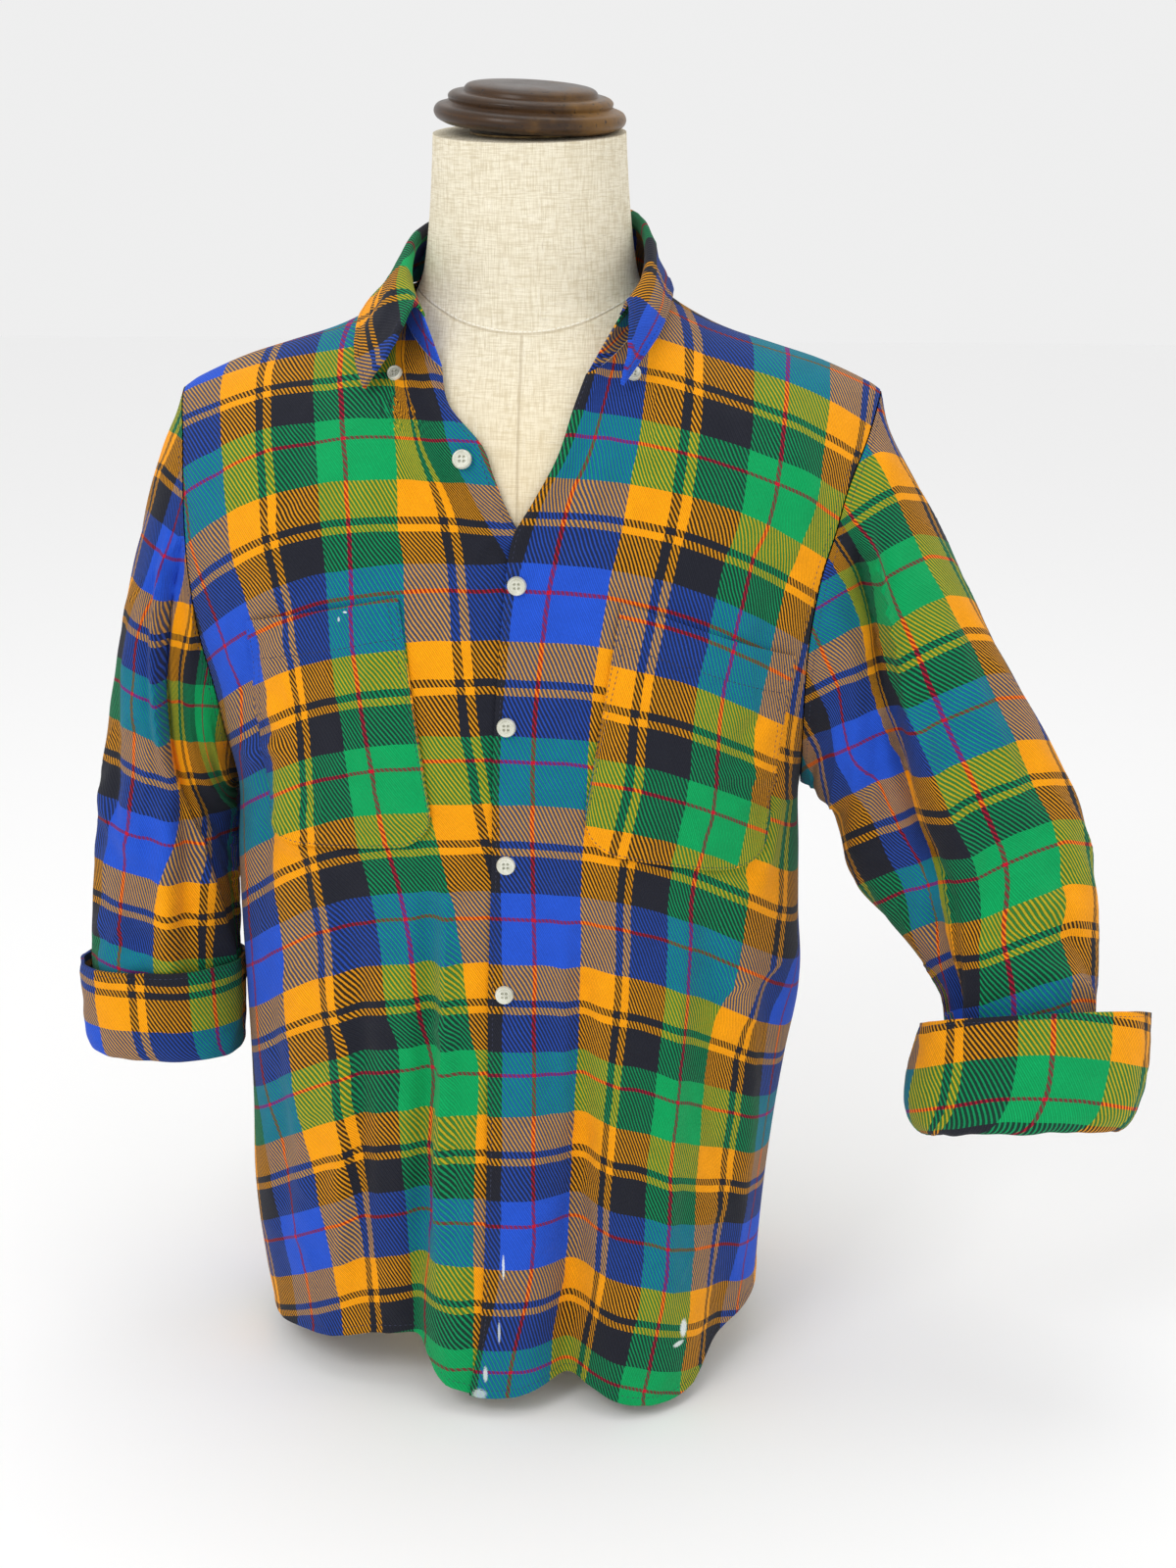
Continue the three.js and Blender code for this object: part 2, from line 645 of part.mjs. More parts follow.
function tubeSolid(loops, wall, seamLoop) {
  const normals = gridNormals(loops, true);
  if (seamLoop) for (const normal of normals[0]) normal.setX(0).normalize();
  const middle = new THREE.Vector3();
  for (const point of loops[2]) middle.addScaledVector(point, 1 / sleeveSides);
  const outward = loops[2][0].clone().sub(middle).dot(normals[2][0]) > 0 ? 1 : -1;
  return wallSolid(loops, movedGrid(loops, normals, -outward * wall), true);
}

function sleeve(side, sections) {
  const loops = [armholeLoop(side, armholeGap), ...sections.map((row) => sleeveLoop(side, row, 0))];
  return tubeSolid(loops, clothWall, true);
}

function cuff(side, sections) {
  return tubeSolid(sections.map((row) => sleeveLoop(side, row, turnedWall + layGap)), turnedWall, false);
}

// Neckline point on the shirt body, along from the middle of the back to the front end
function necklinePoint(side, along) {
  const frontEnd = Math.abs(frontEdgeX(side, frontEndZ));
  if (along < 0.5) {
    const x = side * neckPointX * Math.sin(along * Math.PI);
    return surfacePoint("back", side, x, topEdgeZ("back", x * neckReach));
  }
  const x = side * (frontEnd + (neckPointX - frontEnd) * Math.cos((along - 0.5) * Math.PI));
  return surfacePoint("front", side, x, topEdgeZ("front", x * neckReach));
}

// The collar's section at one place: up the stand, over the fold and down the leaf
function collarSection(side, rows, along) {
  const read = (name) => readTable(rows, "along", name, along);
  const base = necklinePoint(side, along);
  const towardsBack = smoothStep((collarRise.end - along) / collarRise.over);
  base.z += collarGap + (collarBackGap - collarGap) * towardsBack;
  const fold = new THREE.Vector3(side * read("foldX"), read("foldY"), read("foldZ"));
  const roll = new THREE.Vector3(side * read("rollX"), read("rollY"), read("rollZ"));
  const edge = new THREE.Vector3(side * read("edgeX"), read("edgeY"), read("edgeZ"));
  return { base, fold, roll, edge };
}

function collarSections() {
  const half = steps(collarStations / 2, 0, 1);
  const right = half.map((along) => collarSection(-1, rightCollar, along)).reverse();
  const left = half.slice(1).map((along) => collarSection(1, leftCollar, along));
  return [...right, ...left];
}

function collarStand() {
  const sections = collarSections();
  const grid = standLevels.map((level) =>
    sections.map(({ base, fold }) => base.clone().lerp(fold, level * standTopShare))
  );
  const normals = gridNormals(grid, false);
  const middle = collarStations / 2;
  const flip = normals[1][middle].y > 0 ? 1 : -1;
  return wallSolid(grid, movedGrid(grid, normals, -flip * clothWall), false);
}

// The leaf starts inside the stand's top, rises over the fold and hangs down outside
function collarLeaf() {
  const sections = collarSections();
  const paths = sections.map(({ base, fold, roll, edge }) => {
    const standTop = base.clone().lerp(fold, standTopShare);
    const start = standTop.clone().lerp(fold, leafInset);
    const lifted = standTop.clone().lerp(fold, 0.5);
    start.z += seamGap;
    lifted.z += seamGap;
    const crown = fold.clone().lerp(roll, crownShare);
    crown.z = fold.z + crownLift;
    const curve = new THREE.CatmullRomCurve3([start, lifted, crown, roll, edge], false, "centripetal");
    return leafLevels.map((share) => curve.getPoint(share));
  });
  const grid = leafLevels.map((_, level) => paths.map((path) => path[level]));
  const normals = gridNormals(grid, false);
  const middle = collarStations / 2;
  const hanging = leafLevels.length - 2;
  const flip = normals[hanging][middle].y > 0 ? 1 : -1;
  return wallSolid(grid, movedGrid(grid, normals, flip * clothWall), false);
}

// A patch pocket, made from the points of the front that it lies on, moved out
function pocket(side, corners) {
  const width = Math.hypot(corners.outTop[0] - corners.inTop[0], corners.outTop[1] - corners.inTop[1]);
  const mix = (from, to, share) => from.map((value, i) => value + (to[i] - value) * share);
  const outline = (share) => {
    const fromSide = Math.min(share, 1 - share) * width;
    const short = Math.max(pocketCorner - fromSide, 0) / pocketCorner;
    const lift = pocketCorner * (1 - Math.sqrt(1 - short * short));
    const top = mix(corners.inTop, corners.outTop, share);
    const bottom = mix(corners.inBottom, corners.outBottom, share);
    const height = Math.hypot(top[0] - bottom[0], top[1] - bottom[1]);
    return { top, bottom: mix(bottom, top, (lift * cornerDepth) / height) };
  };
  const layer = (distance) =>
    steps(pocketCells, 0, 1).map((up) =>
      steps(pocketCells, 0, 1).map((share) => {
        const { top, bottom } = outline(share);
        const [away, z] = mix(bottom, top, up);
        const normal = frontNormal(side, side * away, z);
        return surfacePoint("front", side, side * away, z).addScaledVector(normal, distance);
      })
    );
  return wallSolid(layer(pocketGap + clothWall), layer(pocketGap), false);
}

// A button with a raised rim, its flat back just clear of the cloth
function button(radius, spot, side, lift) {
  const profile = buttonProfile.map(({ out, up }) => new THREE.Vector2(radius * out, buttonHeight * up));
  const geometry = new THREE.LatheGeometry(profile, buttonSides);
  const normal = frontNormal(side, spot.x, spot.z);
  const place = surfacePoint("front", side, spot.x, spot.z).addScaledVector(normal, lift);
  const turn = new THREE.Quaternion().setFromUnitVectors(new THREE.Vector3(0, 1, 0), normal);
  return { geometry, place, turn };
}

// Dress form: closed rings from the flat bottom up to the neck's rim
function formRing(z) {
  const ring = [];
  for (let i = 0; i < formSides; i += 1) {
    const angle = (2 * Math.PI * i) / formSides;
    const sine = Math.sin(angle);
    const cosine = Math.cos(angle);
    const back = sine > 0;
    const face = back ? "back" : "front";
    if (z <= formSections[formSections.length - 1].z) {
      const width = readTable(formSections, "z", "width", z);
      const depth = readTable(formSections, "z", face, z);
      ring.push(superPoint(width, depth, cosine, sine, z));
    } else if (z < neckSections[0].z) {
      ring.push(shoulderRingPoint(face, cosine, back ? 1 : -1, z));
    } else {
      const width = readTable(neckSections, "z", "width", z);
      const depth = readTable(neckSections, "z", face, z);
      ring.push(new THREE.Vector3(width * cosine, depth * sine, z));
    }
  }
  return ring;
}

function superPoint(width, depth, cosine, sine, z) {
  const power = 2 / sectionSquareness;
  const x = width * Math.sign(cosine) * Math.abs(cosine) ** power;
  const y = depth * Math.sign(sine) * Math.abs(sine) ** power;
  return new THREE.Vector3(x, y, z);
}

// On the shoulders the form follows the cloth that rests on it, a little below it
function shoulderRingPoint(face, cosine, outward, z) {
  const dome = (x) => readTable(shoulderRidge, "x", face, x) - readTable(formUnderCloth, "x", "depth", x);
  let reach = formChest.width;
  while (dome(reach) < z && reach > searchStep) reach -= searchStep;
  const power = 2 / sectionSquareness;
  const x = reach * Math.sign(cosine) * Math.abs(cosine) ** power;
  const across = Math.abs(x) / formChest.width;
  const round = (1 - Math.min(across, 1) ** sectionSquareness) ** (1 / sectionSquareness);
  const up = Math.min(Math.max((z - chestZ) / (dome(Math.abs(x)) - chestZ), 0), 1);
  const y = outward * formChest.depth * round * Math.sqrt(1 - up * up);
  return new THREE.Vector3(x, y, z);
}

function formTorso() {
  const necks = neckSections.map((section) => section.z);
  const rings = [...formLevels, ...necks].map(formRing);
  const rim = rings[rings.length - 1].map((point) => {
    const angle = Math.atan2(point.y, point.x);
    const y = rimRadius * Math.sin(angle);
    return new THREE.Vector3(rimRadius * Math.cos(angle), y, rimZ + rimSlope * y);
  });
  rings.push(rim);
  return cappedRings(rings);
}

// Rings closed by a flat face at each end
function cappedRings(rings) {
  const count = rings[0].length;
  const positions = [];
  for (const ring of rings) for (const point of ring) positions.push(point.x, point.y, point.z);
  const faces = [];
  for (let row = 0; row < rings.length - 1; row += 1) {
    for (let i = 0; i < count; i += 1) {
      const next = (i + 1) % count;
      const low = row * count;
      const high = low + count;
      faces.push(low + i, low + next, high + next, low + i, high + next, high + i);
    }
  }
  const addCap = (ring, offset, flip) => {
    const middle = new THREE.Vector3();
    for (const point of ring) middle.addScaledVector(point, 1 / count);
    const index = positions.length / 3;
    positions.push(middle.x, middle.y, middle.z);
    for (let i = 0; i < count; i += 1) {
      const next = (i + 1) % count;
      if (flip) faces.push(index, offset + next, offset + i);
      else faces.push(index, offset + i, offset + next);
    }
  };
  addCap(rings[0], 0, true);
  addCap(rings[rings.length - 1], (rings.length - 1) * count, false);
  return closedGeometry(positions, faces);
}

// Solid of revolution from points of distance out and height up
function lathe(points, sides) {
  return new THREE.LatheGeometry(points.map(({ out, up }) => new THREE.Vector2(out, up)), sides);
}

function discGeometry() {
  const edge = [{ out: discRadius, up: 0 }, { out: discRadius, up: discHeight }];
  return lathe([{ out: 0, up: 0 }, ...edge, { out: 0, up: discHeight }], formSides);
}

// Turned wooden cap: a torus foot, a step and a domed top
function capGeometry() {
  const turned = capProfile.map(({ inset, up }) => ({ out: capRadius - inset, up }));
  return lathe([{ out: 0, up: 0 }, ...turned, { out: 0, up: capHeight }], capSides);
}

const colours = {
  linen: { color: 0xe8e1cd, roughness: 0.9, metalness: 0 },
  wood: { color: 0x5d3c1c, roughness: 0.45, metalness: 0.1 },
  brass: { color: 0x8a6a3a, roughness: 0.5, metalness: 0.6 },
  blue: { color: 0x3a63b8, roughness: 0.95, metalness: 0 },
  green: { color: 0x2f9460, roughness: 0.95, metalness: 0 },
  gold: { color: 0xd99a2e, roughness: 0.95, metalness: 0 },
  charcoal: { color: 0x44484c, roughness: 0.95, metalness: 0 },
  pearl: { color: 0xe2e0cc, roughness: 0.35, metalness: 0 },
};

const group = new THREE.Group();

function addMesh(name, geometry, look) {
  const mesh = new THREE.Mesh(geometry, new THREE.MeshStandardMaterial(colours[look]));
  mesh.name = name;
  group.add(mesh);
  return mesh;
}

function addButton(name, radius, spot, side, lift) {
  const { geometry, place, turn } = button(radius, spot, side, lift);
  const mesh = addMesh(name, geometry, "pearl");
  mesh.position.copy(place);
  mesh.quaternion.copy(turn);
}

addMesh("form_torso", formTorso(), "linen");

const upright = Math.PI / 2 + Math.atan(rimSlope);
const disc = addMesh("form_disc", discGeometry(), "brass");
disc.rotation.set(upright, 0, 0);
disc.position.set(0, 0, rimZ + seamGap);

const cap = addMesh("form_cap", capGeometry(), "wood");
cap.rotation.set(upright, 0, 0);
const capTurn = new THREE.Quaternion().setFromAxisAngle(new THREE.Vector3(0, 1, 0), capTilt);
cap.quaternion.premultiply(capTurn);
cap.position.set(0, 0, rimZ + discHeight + 2 * seamGap + discRadius * Math.tan(capTilt));

addMesh("front_right", frontPanel(-1), "green");
addMesh("front_left", frontPanel(1), "blue");
addMesh("back", backPanel(), "blue");
addMesh("yoke", yokePanel(), "green");
addMesh("collar_stand", collarStand(), "charcoal");
addMesh("collar_leaf", collarLeaf(), "gold");
addMesh("sleeve_right", sleeve(-1, rightSleeve), "blue");
addMesh("sleeve_left", sleeve(1, leftSleeve), "green");
addMesh("cuff_right", cuff(-1, rightCuff), "charcoal");
addMesh("cuff_left", cuff(1, leftCuff), "gold");
addMesh("pocket_right", pocket(-1, rightPocket), "gold");
addMesh("pocket_left", pocket(1, leftPocket), "gold");

addButton(openButton.name, buttonRadius, openButton, -1, layGap);
for (const spot of buttonsOnLeftFront) addButton(spot.name, buttonRadius, spot, 1, layGap);
for (const spot of collarButtons) addButton(spot.name, collarButtonRadius, spot, spot.side, layGap / 2);

export default group;
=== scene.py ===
"""Plaid flannel shirt on a limbless dress form: its looks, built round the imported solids.

Tables and sizes are millimetres in the part's frame: +Z up, the front faces -Y and the
wearer's left is +X. A mesh's own points are metres. Sides are named by the wearer.
"""

import math

import bmesh
import bpy
import numpy as np
from mathutils import Matrix, Vector


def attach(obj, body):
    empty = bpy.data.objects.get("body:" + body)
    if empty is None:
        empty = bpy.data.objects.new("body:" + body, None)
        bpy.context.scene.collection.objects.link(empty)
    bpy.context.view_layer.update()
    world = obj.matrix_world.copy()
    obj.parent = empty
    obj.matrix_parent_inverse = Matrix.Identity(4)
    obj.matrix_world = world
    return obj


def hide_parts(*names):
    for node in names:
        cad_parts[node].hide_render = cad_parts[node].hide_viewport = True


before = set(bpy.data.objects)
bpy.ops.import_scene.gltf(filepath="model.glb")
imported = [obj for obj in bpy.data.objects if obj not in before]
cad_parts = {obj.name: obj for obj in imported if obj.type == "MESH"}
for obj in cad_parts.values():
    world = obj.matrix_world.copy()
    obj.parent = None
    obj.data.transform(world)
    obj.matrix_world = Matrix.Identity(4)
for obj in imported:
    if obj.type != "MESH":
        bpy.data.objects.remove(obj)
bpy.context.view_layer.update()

MM = 0.001


def table(columns, *rows):
    """A short table as one array for each named column."""
    values = np.array(rows, float).T
    return dict(zip(columns.split(), values))


# Cloth and seams
CLOTH = 1.15
SEAM_GAP = 0.36
LAP_STEP = 2.8
LAP_WIDTH = 36.0
CHEST_Z = 534.0
ARMPIT_Z = 388.0
SHOULDER_TIP_Z = 637.0
YOKE_SEAM_Z = 592.0
NECK_POINT_X = 80.0
SQUARENESS = 2.35
SLEEVE_SQUARENESS = 2.3
LEFT_TIP_FULLNESS = 10.0
FRONT_END_Z = 661.0
CLOTH_ABOVE_CHEST = 240.0

BODY = table(
    "z right left front back",
    (0, 178, 150, 119, 150),
    (50, 186, 151, 120, 149),
    (110, 191, 155, 121, 147),
    (165, 190, 161, 122, 145),
    (207, 190, 167, 122, 143),
    (256, 191, 175, 123, 140),
    (300, 192, 173, 123, 137),
    (345, 192, 172, 124, 134),
    (ARMPIT_Z, 190, 171, 124, 132),
    (420, 197, 177, 124, 130),
    (454, 208, 187, 122, 127),
    (494, 222, 197, 118, 124),
    (CHEST_Z, 232, 208, 113, 121),
)
ARMHOLE = table(
    "z right left",
    (ARMPIT_Z, 190, 171),
    (403, 190.5, 171),
    (454, 193.5, 171),
    (494, 201.5, 173),
    (533, 205.5, 179),
    (560, 207, 187),
    (586, 208, 194),
    (614, 210, 206),
    (SHOULDER_TIP_Z, 215, 214),
)
RIDGE = table(
    "x front back",
    (0, 712, 743),
    (40, 712, 732),
    (60, 706, 716),
    (80, 697, 697),
    (100, 684, 684),
    (120, 674.5, 674.5),
    (150, 665, 665),
    (178, 656, 656),
    (207, 643, 643),
    (216, SHOULDER_TIP_Z, SHOULDER_TIP_Z),
)
NECKLINE = table(
    "x front back",
    (0, 650, 702),
    (41, 657, 702),
    (50, 662, 701.5),
    (60, 671, 700),
    (72, 685, 699),
    (NECK_POINT_X, 697, 697),
)
LEFT_EDGE = table(
    "z x",
    (0, -33),
    (14, -32),
    (59, -24.5),
    (128, -20.5),
    (229, -18.5),
    (284, -18),
    (368, -15),
    (453, -12.5),
    (538, -6),
    (566, -1),
    (585, 10),
    (611, 24),
    (639, 33),
    (661, 41),
)
RIGHT_OPEN_EDGE = table(
    "z x",
    (520, 28),
    (545, 22),
    (566, 3),
    (583, -6),
    (600, -13),
    (617, -20),
    (639, -40),
    (661, -46),
)
FRONT_HEM = table(
    "x z",
    (-192, 14),
    (-178, 17),
    (-150, 27),
    (-121, 34),
    (-90, 41),
    (-66, 40),
    (-52, 24),
    (-30, 15),
    (-5, 15),
    (19, 20),
    (38, 21),
    (57, 15),
    (76, 10),
    (100, 8.5),
    (115, 14),
    (124, 27),
    (137, 34),
    (152, 38),
)
BACK_HEM = table(
    "x z", (-192, 14), (-150, 22), (-90, 13), (0, 9), (80, 14), (125, 27), (152, 38)
)

# Largest folds, as in the solids: a square of 2 is a round fold, 4 a boxy flute
FRONT_FOLDS = table(
    "top_z top_x bottom_x reach height square",
    (360, -20, -19, 40, 22, 4),
    (330, 96, 80, 40, 27, 4),
    (420, -46, -68, 11, -9, 2),
    (330, -140, -138, 26, 7, 2),
    (420, 34, 28, 11, -7, 2),
    (300, 128, 128, 9, -8, 2),
)
BACK_FOLDS = table(
    "top_z top_x bottom_x reach height square",
    (470, -84, -96, 30, 13, 2),
    (430, -48, -50, 15, -9, 2),
    (500, -8, -2, 28, 11, 2),
    (440, 40, 46, 15, -10, 2),
    (480, 76, 90, 28, 14, 2),
)
DRAG = dict(top_z=650, top_x=-80, bottom_z=560, bottom_x=-22, reach=12, height=3.5)

SLEEVE_COLUMNS = "out_x out_z in_x in_z reach forward lean"
SLEEVES = {
    "right": table(
        SLEEVE_COLUMNS,
        (222, 616, 192.5, 386, 62, 1, 0),
        (236, 581, 194, 383, 62, 3, 0),
        (250, 536, 195, 380, 61, 5, 0),
        (260, 484, 195.5, 374, 60, 7, 0),
        (267, 430, 195.5, 364, 58, 9, 1),
        (274, 387, 195, 346, 56, 12, 2),
        (282, 346, 195, 322, 52, 15, 3),
        (288, 306, 194.8, 294, 47, 18, 4),
        (291, 270, 196.4, 266, 43, 21, 5),
        (290, 240, 198, 239, 40, 23, 5),
        (288, 212, 199, 210, 39, 24, 5),
    ),
    "left": table(
        SLEEVE_COLUMNS,
        (221, 611, 174, 385, 62, 1, 0),
        (241, 575, 179, 383, 61, 3, 0),
        (266, 530, 186, 380, 60, 6, 0),
        (296, 474, 195, 373, 59, 10, 1),
        (324, 420, 199, 350, 57, 15, 3),
        (347, 378, 208, 327, 53, 22, 7),
        (355, 338, 228, 305, 49, 32, 12),
        (356, 304, 247, 286, 45, 44, 17),
        (357, 270, 264, 262, 42, 56, 20),
        (358, 236, 269, 228, 40, 66, 21),
        (358, 196, 271, 190, 39, 77, 21),
    ),
}
CUFFS = {
    "right": table(
        SLEEVE_COLUMNS,
        (283.5, 210.8, 203.5, 208.8, 34.5, 24, 5),
        (289, 205, 199.5, 203, 40, 24, 5),
        (292, 214, 197.6, 212, 43, 24, 5),
        (294, 239, 196.6, 239, 44, 23, 5),
        (294, 264, 195.6, 266, 45, 21, 5),
    ),
    "left": table(
        SLEEVE_COLUMNS,
        (353, 192.8, 275.6, 186.8, 34.5, 79, 21),
        (369, 184, 261, 178, 43, 80, 22),
        (380, 194, 250, 186, 49, 78, 24),
        (387, 222, 246, 209, 52, 72, 26),
        (388, 257, 255, 247, 51, 62, 26),
    ),
}
TURNED_WALL = 4.2
LAY_GAP = 0.5
ARMHOLE_GAP = 0.8

COLLAR_COLUMNS = "along fold_x fold_y fold_z roll_x roll_y roll_z edge_x edge_y edge_z"
COLLARS = {
    "right": table(
        COLLAR_COLUMNS,
        (0, 0, 67, 738, 0, 76, 722, 0, 89, 696),
        (0.28, 48, 46, 737, 57, 54, 720, 70, 60, 697),
        (0.5, 66, 4, 729, 76, 5, 712, 91, 8, 695),
        (0.68, 69, -28, 718, 83, -33, 702, 99, -32, 684),
        (0.85, 66, -56, 705, 80, -69, 692, 97, -69, 665),
        (1, 58, -77, 692, 70, -95, 676, 90, -83, 647),
    ),
    "left": table(
        COLLAR_COLUMNS,
        (0, 0, 67, 738, 0, 76, 722, 0, 89, 696),
        (0.28, 48, 46, 740, 56, 54, 724, 66, 60, 698),
        (0.5, 66, 6, 735, 74, 7, 720, 84, 8, 699),
        (0.68, 72, -26, 722, 80, -32, 706, 85, -33, 691),
        (0.85, 71, -54, 707, 77, -66, 693, 78, -72, 675),
        (1, 63, -76, 694, 65, -94, 677, 60, -88, 651),
    ),
}
COLLAR_GAP = 0.8
COLLAR_BACK_GAP = 1.6
STAND_SHARE = 0.84

POCKETS = {
    "right": dict(out_top=(165, 508), in_top=(69, 529), in_bottom=(48, 379), out_bottom=(156, 368)),
    "left": dict(out_top=(163, 489), in_top=(62, 528), in_bottom=(38, 379), out_bottom=(144, 353)),
}
POCKET_CORNER = 24.0
POCKET_GAP = 1.2

BUTTON_RADIUS = 5.8
COLLAR_BUTTON_RADIUS = 4.6
BUTTON_HEIGHT = 2.6
BUTTONS = {
    "button_1": (-1, -31, 608.5, BUTTON_RADIUS, LAY_GAP),
    "button_2": (1, 0.9, 537, BUTTON_RADIUS, LAY_GAP),
    "button_3": (1, -5.2, 453.5, BUTTON_RADIUS, LAY_GAP),
    "button_4": (1, -6.1, 368, BUTTON_RADIUS, LAY_GAP),
    "button_5": (1, -7.7, 285, BUTTON_RADIUS, LAY_GAP),
    "collar_button_right": (-1, -73.5, 655, COLLAR_BUTTON_RADIUS, LAY_GAP / 2),
    "collar_button_left": (1, 66.5, 656, COLLAR_BUTTON_RADIUS, LAY_GAP / 2),
}

# Dress form
FORM_UNDER_CLOTH = table("x depth", (0, 6), (70, 9), (85, 6.5), (105, 3.6), (216, 3.2))
FORM_CHEST_WIDTH = 180.0
FORM_CHEST_DEPTH = 108.0
FORM = table(
    "z width front back",
    (0, 100, 42, 90),
    (55, 122, 74, 102),
    (110, 134, 90, 110),
    (220, 134, 98, 112),
    (330, 136, 103, 108),
    (430, 158, 110, 110),
    (490, 172, 110, 112),
)
NECK = table(
    "z width front back",
    (694, 71, 60, 65),
    (704, 66.5, 60, 63),
    (715, 64, 60, 62),
    (730, 62, 60, 61),
    (752, 60, 59, 59),
    (775, 58.6, 58, 58),
)
RIM_Z = 789.5
RIM_RADIUS = 58.0
RIM_SLOPE = 0.08
DISC_RADIUS = 36.0
DISC_HEIGHT = 1.1
CAP_TILT = math.radians(3.6)
CAP_RADIUS = 57.6

# Grid sizes
FRONT_COLUMNS = 84
FRONT_LOW_ROWS = 190
FRONT_HIGH_ROWS = 70
BACK_COLUMNS = 150
BACK_LOW_ROWS = 150
YOKE_ROWS = 44
SLEEVE_COLUMNS_ROUND = 130
SLEEVE_ROWS = 150
CUFF_ROWS = 44
CUFF_WALL = 2.2
COLLAR_COLUMNS_HALF = 84
STAND_ROWS = 12
LEAF_ROWS = 34
POCKET_COLUMNS = 58
POCKET_ROWS = 76

# Plaid: stripes of one repeat, as the number of weft units, top to bottom or right to left
# side of the wearer. The cloth has more warp than weft threads, so the warp repeat is wider.
SETT = (
    ("blue", 15.5),
    ("red", 2.1),
    ("blue", 28.4),
    ("gold", 22.6),
    ("charcoal", 4.4),
    ("gold", 4.8),
    ("charcoal", 23.9),
    ("green", 14.5),
    ("red", 2.1),
    ("green", 26.1),
    ("gold", 22.6),
    ("charcoal", 4.4),
    ("gold", 4.8),
    ("charcoal", 23.9),
)
WEFT_REPEAT = sum(width for _, width in SETT)
WARP_STRETCH = 1.18
WARP_REPEAT = WEFT_REPEAT * WARP_STRETCH
WEFT_TOP = 550.5
HATCH = 0.42
FLOAT_CONTRAST = 1.3
BRIGHTNESS = (0.3, 0.6, 0.1)
TWILL_ACROSS = 2.7
TWILL_DOWN = 4.6
# Yarn colours as display values: they are mixed in these, as brushed fibres mix
YARN = {
    "blue": (0.16, 0.34, 0.82),
    "gold": (1.0, 0.64, 0.05),
    "charcoal": (0.15, 0.155, 0.19),
    "green": (0.03, 0.64, 0.36),
    "red": (0.8, 0.09, 0.2),
}


def slopes_of(keys, values):
    slopes = np.empty_like(values)
    spread = (keys[2:] - keys[:-2]).reshape(-1, *([1] * (values.ndim - 1)))
    slopes[1:-1] = (values[2:] - values[:-2]) / spread
    slopes[0] = (values[1] - values[0]) / (keys[1] - keys[0])
    slopes[-1] = (values[-1] - values[-2]) / (keys[-1] - keys[-2])
    return slopes


def smooth_between(keys, values, at):
    """A cubic through the rows beside each place, held at both ends."""
    at = np.clip(at, keys[0], keys[-1])
    index = np.clip(np.searchsorted(keys, at, side="right") - 1, 0, len(keys) - 2)
    slopes = slopes_of(keys, values)
    step = keys[index + 1] - keys[index]
    share = (at - keys[index]) / step
    if values.ndim > 1:
        shape = at.shape + (1,) * (values.ndim - 1)
        step, share = step.reshape(shape), share.reshape(shape)
    start, end = values[index], values[index + 1]
    blend = share * share * (3 - 2 * share)
    pull = share * (1 - share) ** 2 * step * slopes[index]
    pull = pull + share * share * (share - 1) * step * slopes[index + 1]
    return start + (end - start) * blend + pull


def read(rows, key, column, at):
    return smooth_between(rows[key], rows[column], np.asarray(at, float))


def smooth_step(share):
    share = np.clip(share, 0, 1)
    return share * share * (3 - 2 * share)


def by_side(rows, key, at, x):
    return np.where(x < 0, read(rows, key, "right", at), read(rows, key, "left", at))


def fold_height(folds, x, z):
    total = np.zeros_like(x)
    for top_z, top_x, bottom_x, reach, height, square in zip(*folds.values()):
        down = np.clip((top_z - z) / top_z, 0, None)
        middle = top_x + (bottom_x - top_x) * down
        away = np.abs(x - middle) / reach
        total += height * smooth_step(down) * np.exp(-(away**square))
    return total


def drag_height(x, z):
    down = np.clip((DRAG["top_z"] - z) / (DRAG["top_z"] - DRAG["bottom_z"]), 0, 1)
    middle = DRAG["top_x"] + (DRAG["bottom_x"] - DRAG["top_x"]) * down
    away = (x - middle) / DRAG["reach"]
    return DRAG["height"] * np.sin(math.pi * down) ** 2 * np.exp(-away * away)


def body_depth(face, x, z):
    """How far the body reaches from the middle plane, to the front or the back."""
    level = np.minimum(z, CHEST_Z)
    width = by_side(BODY, "z", level, x)
    width += np.where(x > 0, LEFT_TIP_FULLNESS, 0) * smooth_step((z - CHEST_Z) / 60)
    across = np.minimum(np.abs(x) / width, 1)
    roundness = (1 - across**SQUARENESS) ** (1 / SQUARENESS)
    folds = fold_height(FRONT_FOLDS if face == "front" else BACK_FOLDS, x, z)
    if face == "front":
        folds = folds + drag_height(x, z)
    reach = read(BODY, "z", face, level) * roundness + folds * (1 - across**8)
    dome = read(RIDGE, "x", face, np.abs(x))
    up = np.clip((z - CHEST_Z) / (dome - CHEST_Z), 0, 1)
    return reach * np.sqrt(1 - up * up)


def top_edge_z(face, x):
    away = np.abs(x)
    return np.where(away < NECK_POINT_X, read(NECKLINE, "x", face, away), read(RIDGE, "x", face, away))


def front_edge_x(side, z):
    edge = read(LEFT_EDGE, "z", "x", z)
    if side > 0:
        return edge
    return np.where(z < RIGHT_OPEN_EDGE["z"][0], edge + LAP_WIDTH, read(RIGHT_OPEN_EDGE, "z", "x", z))


def seam_x(side, z):
    name = "right" if side < 0 else "left"
    return side * np.where(z < ARMPIT_Z, read(BODY, "z", name, z), read(ARMHOLE, "z", name, z))


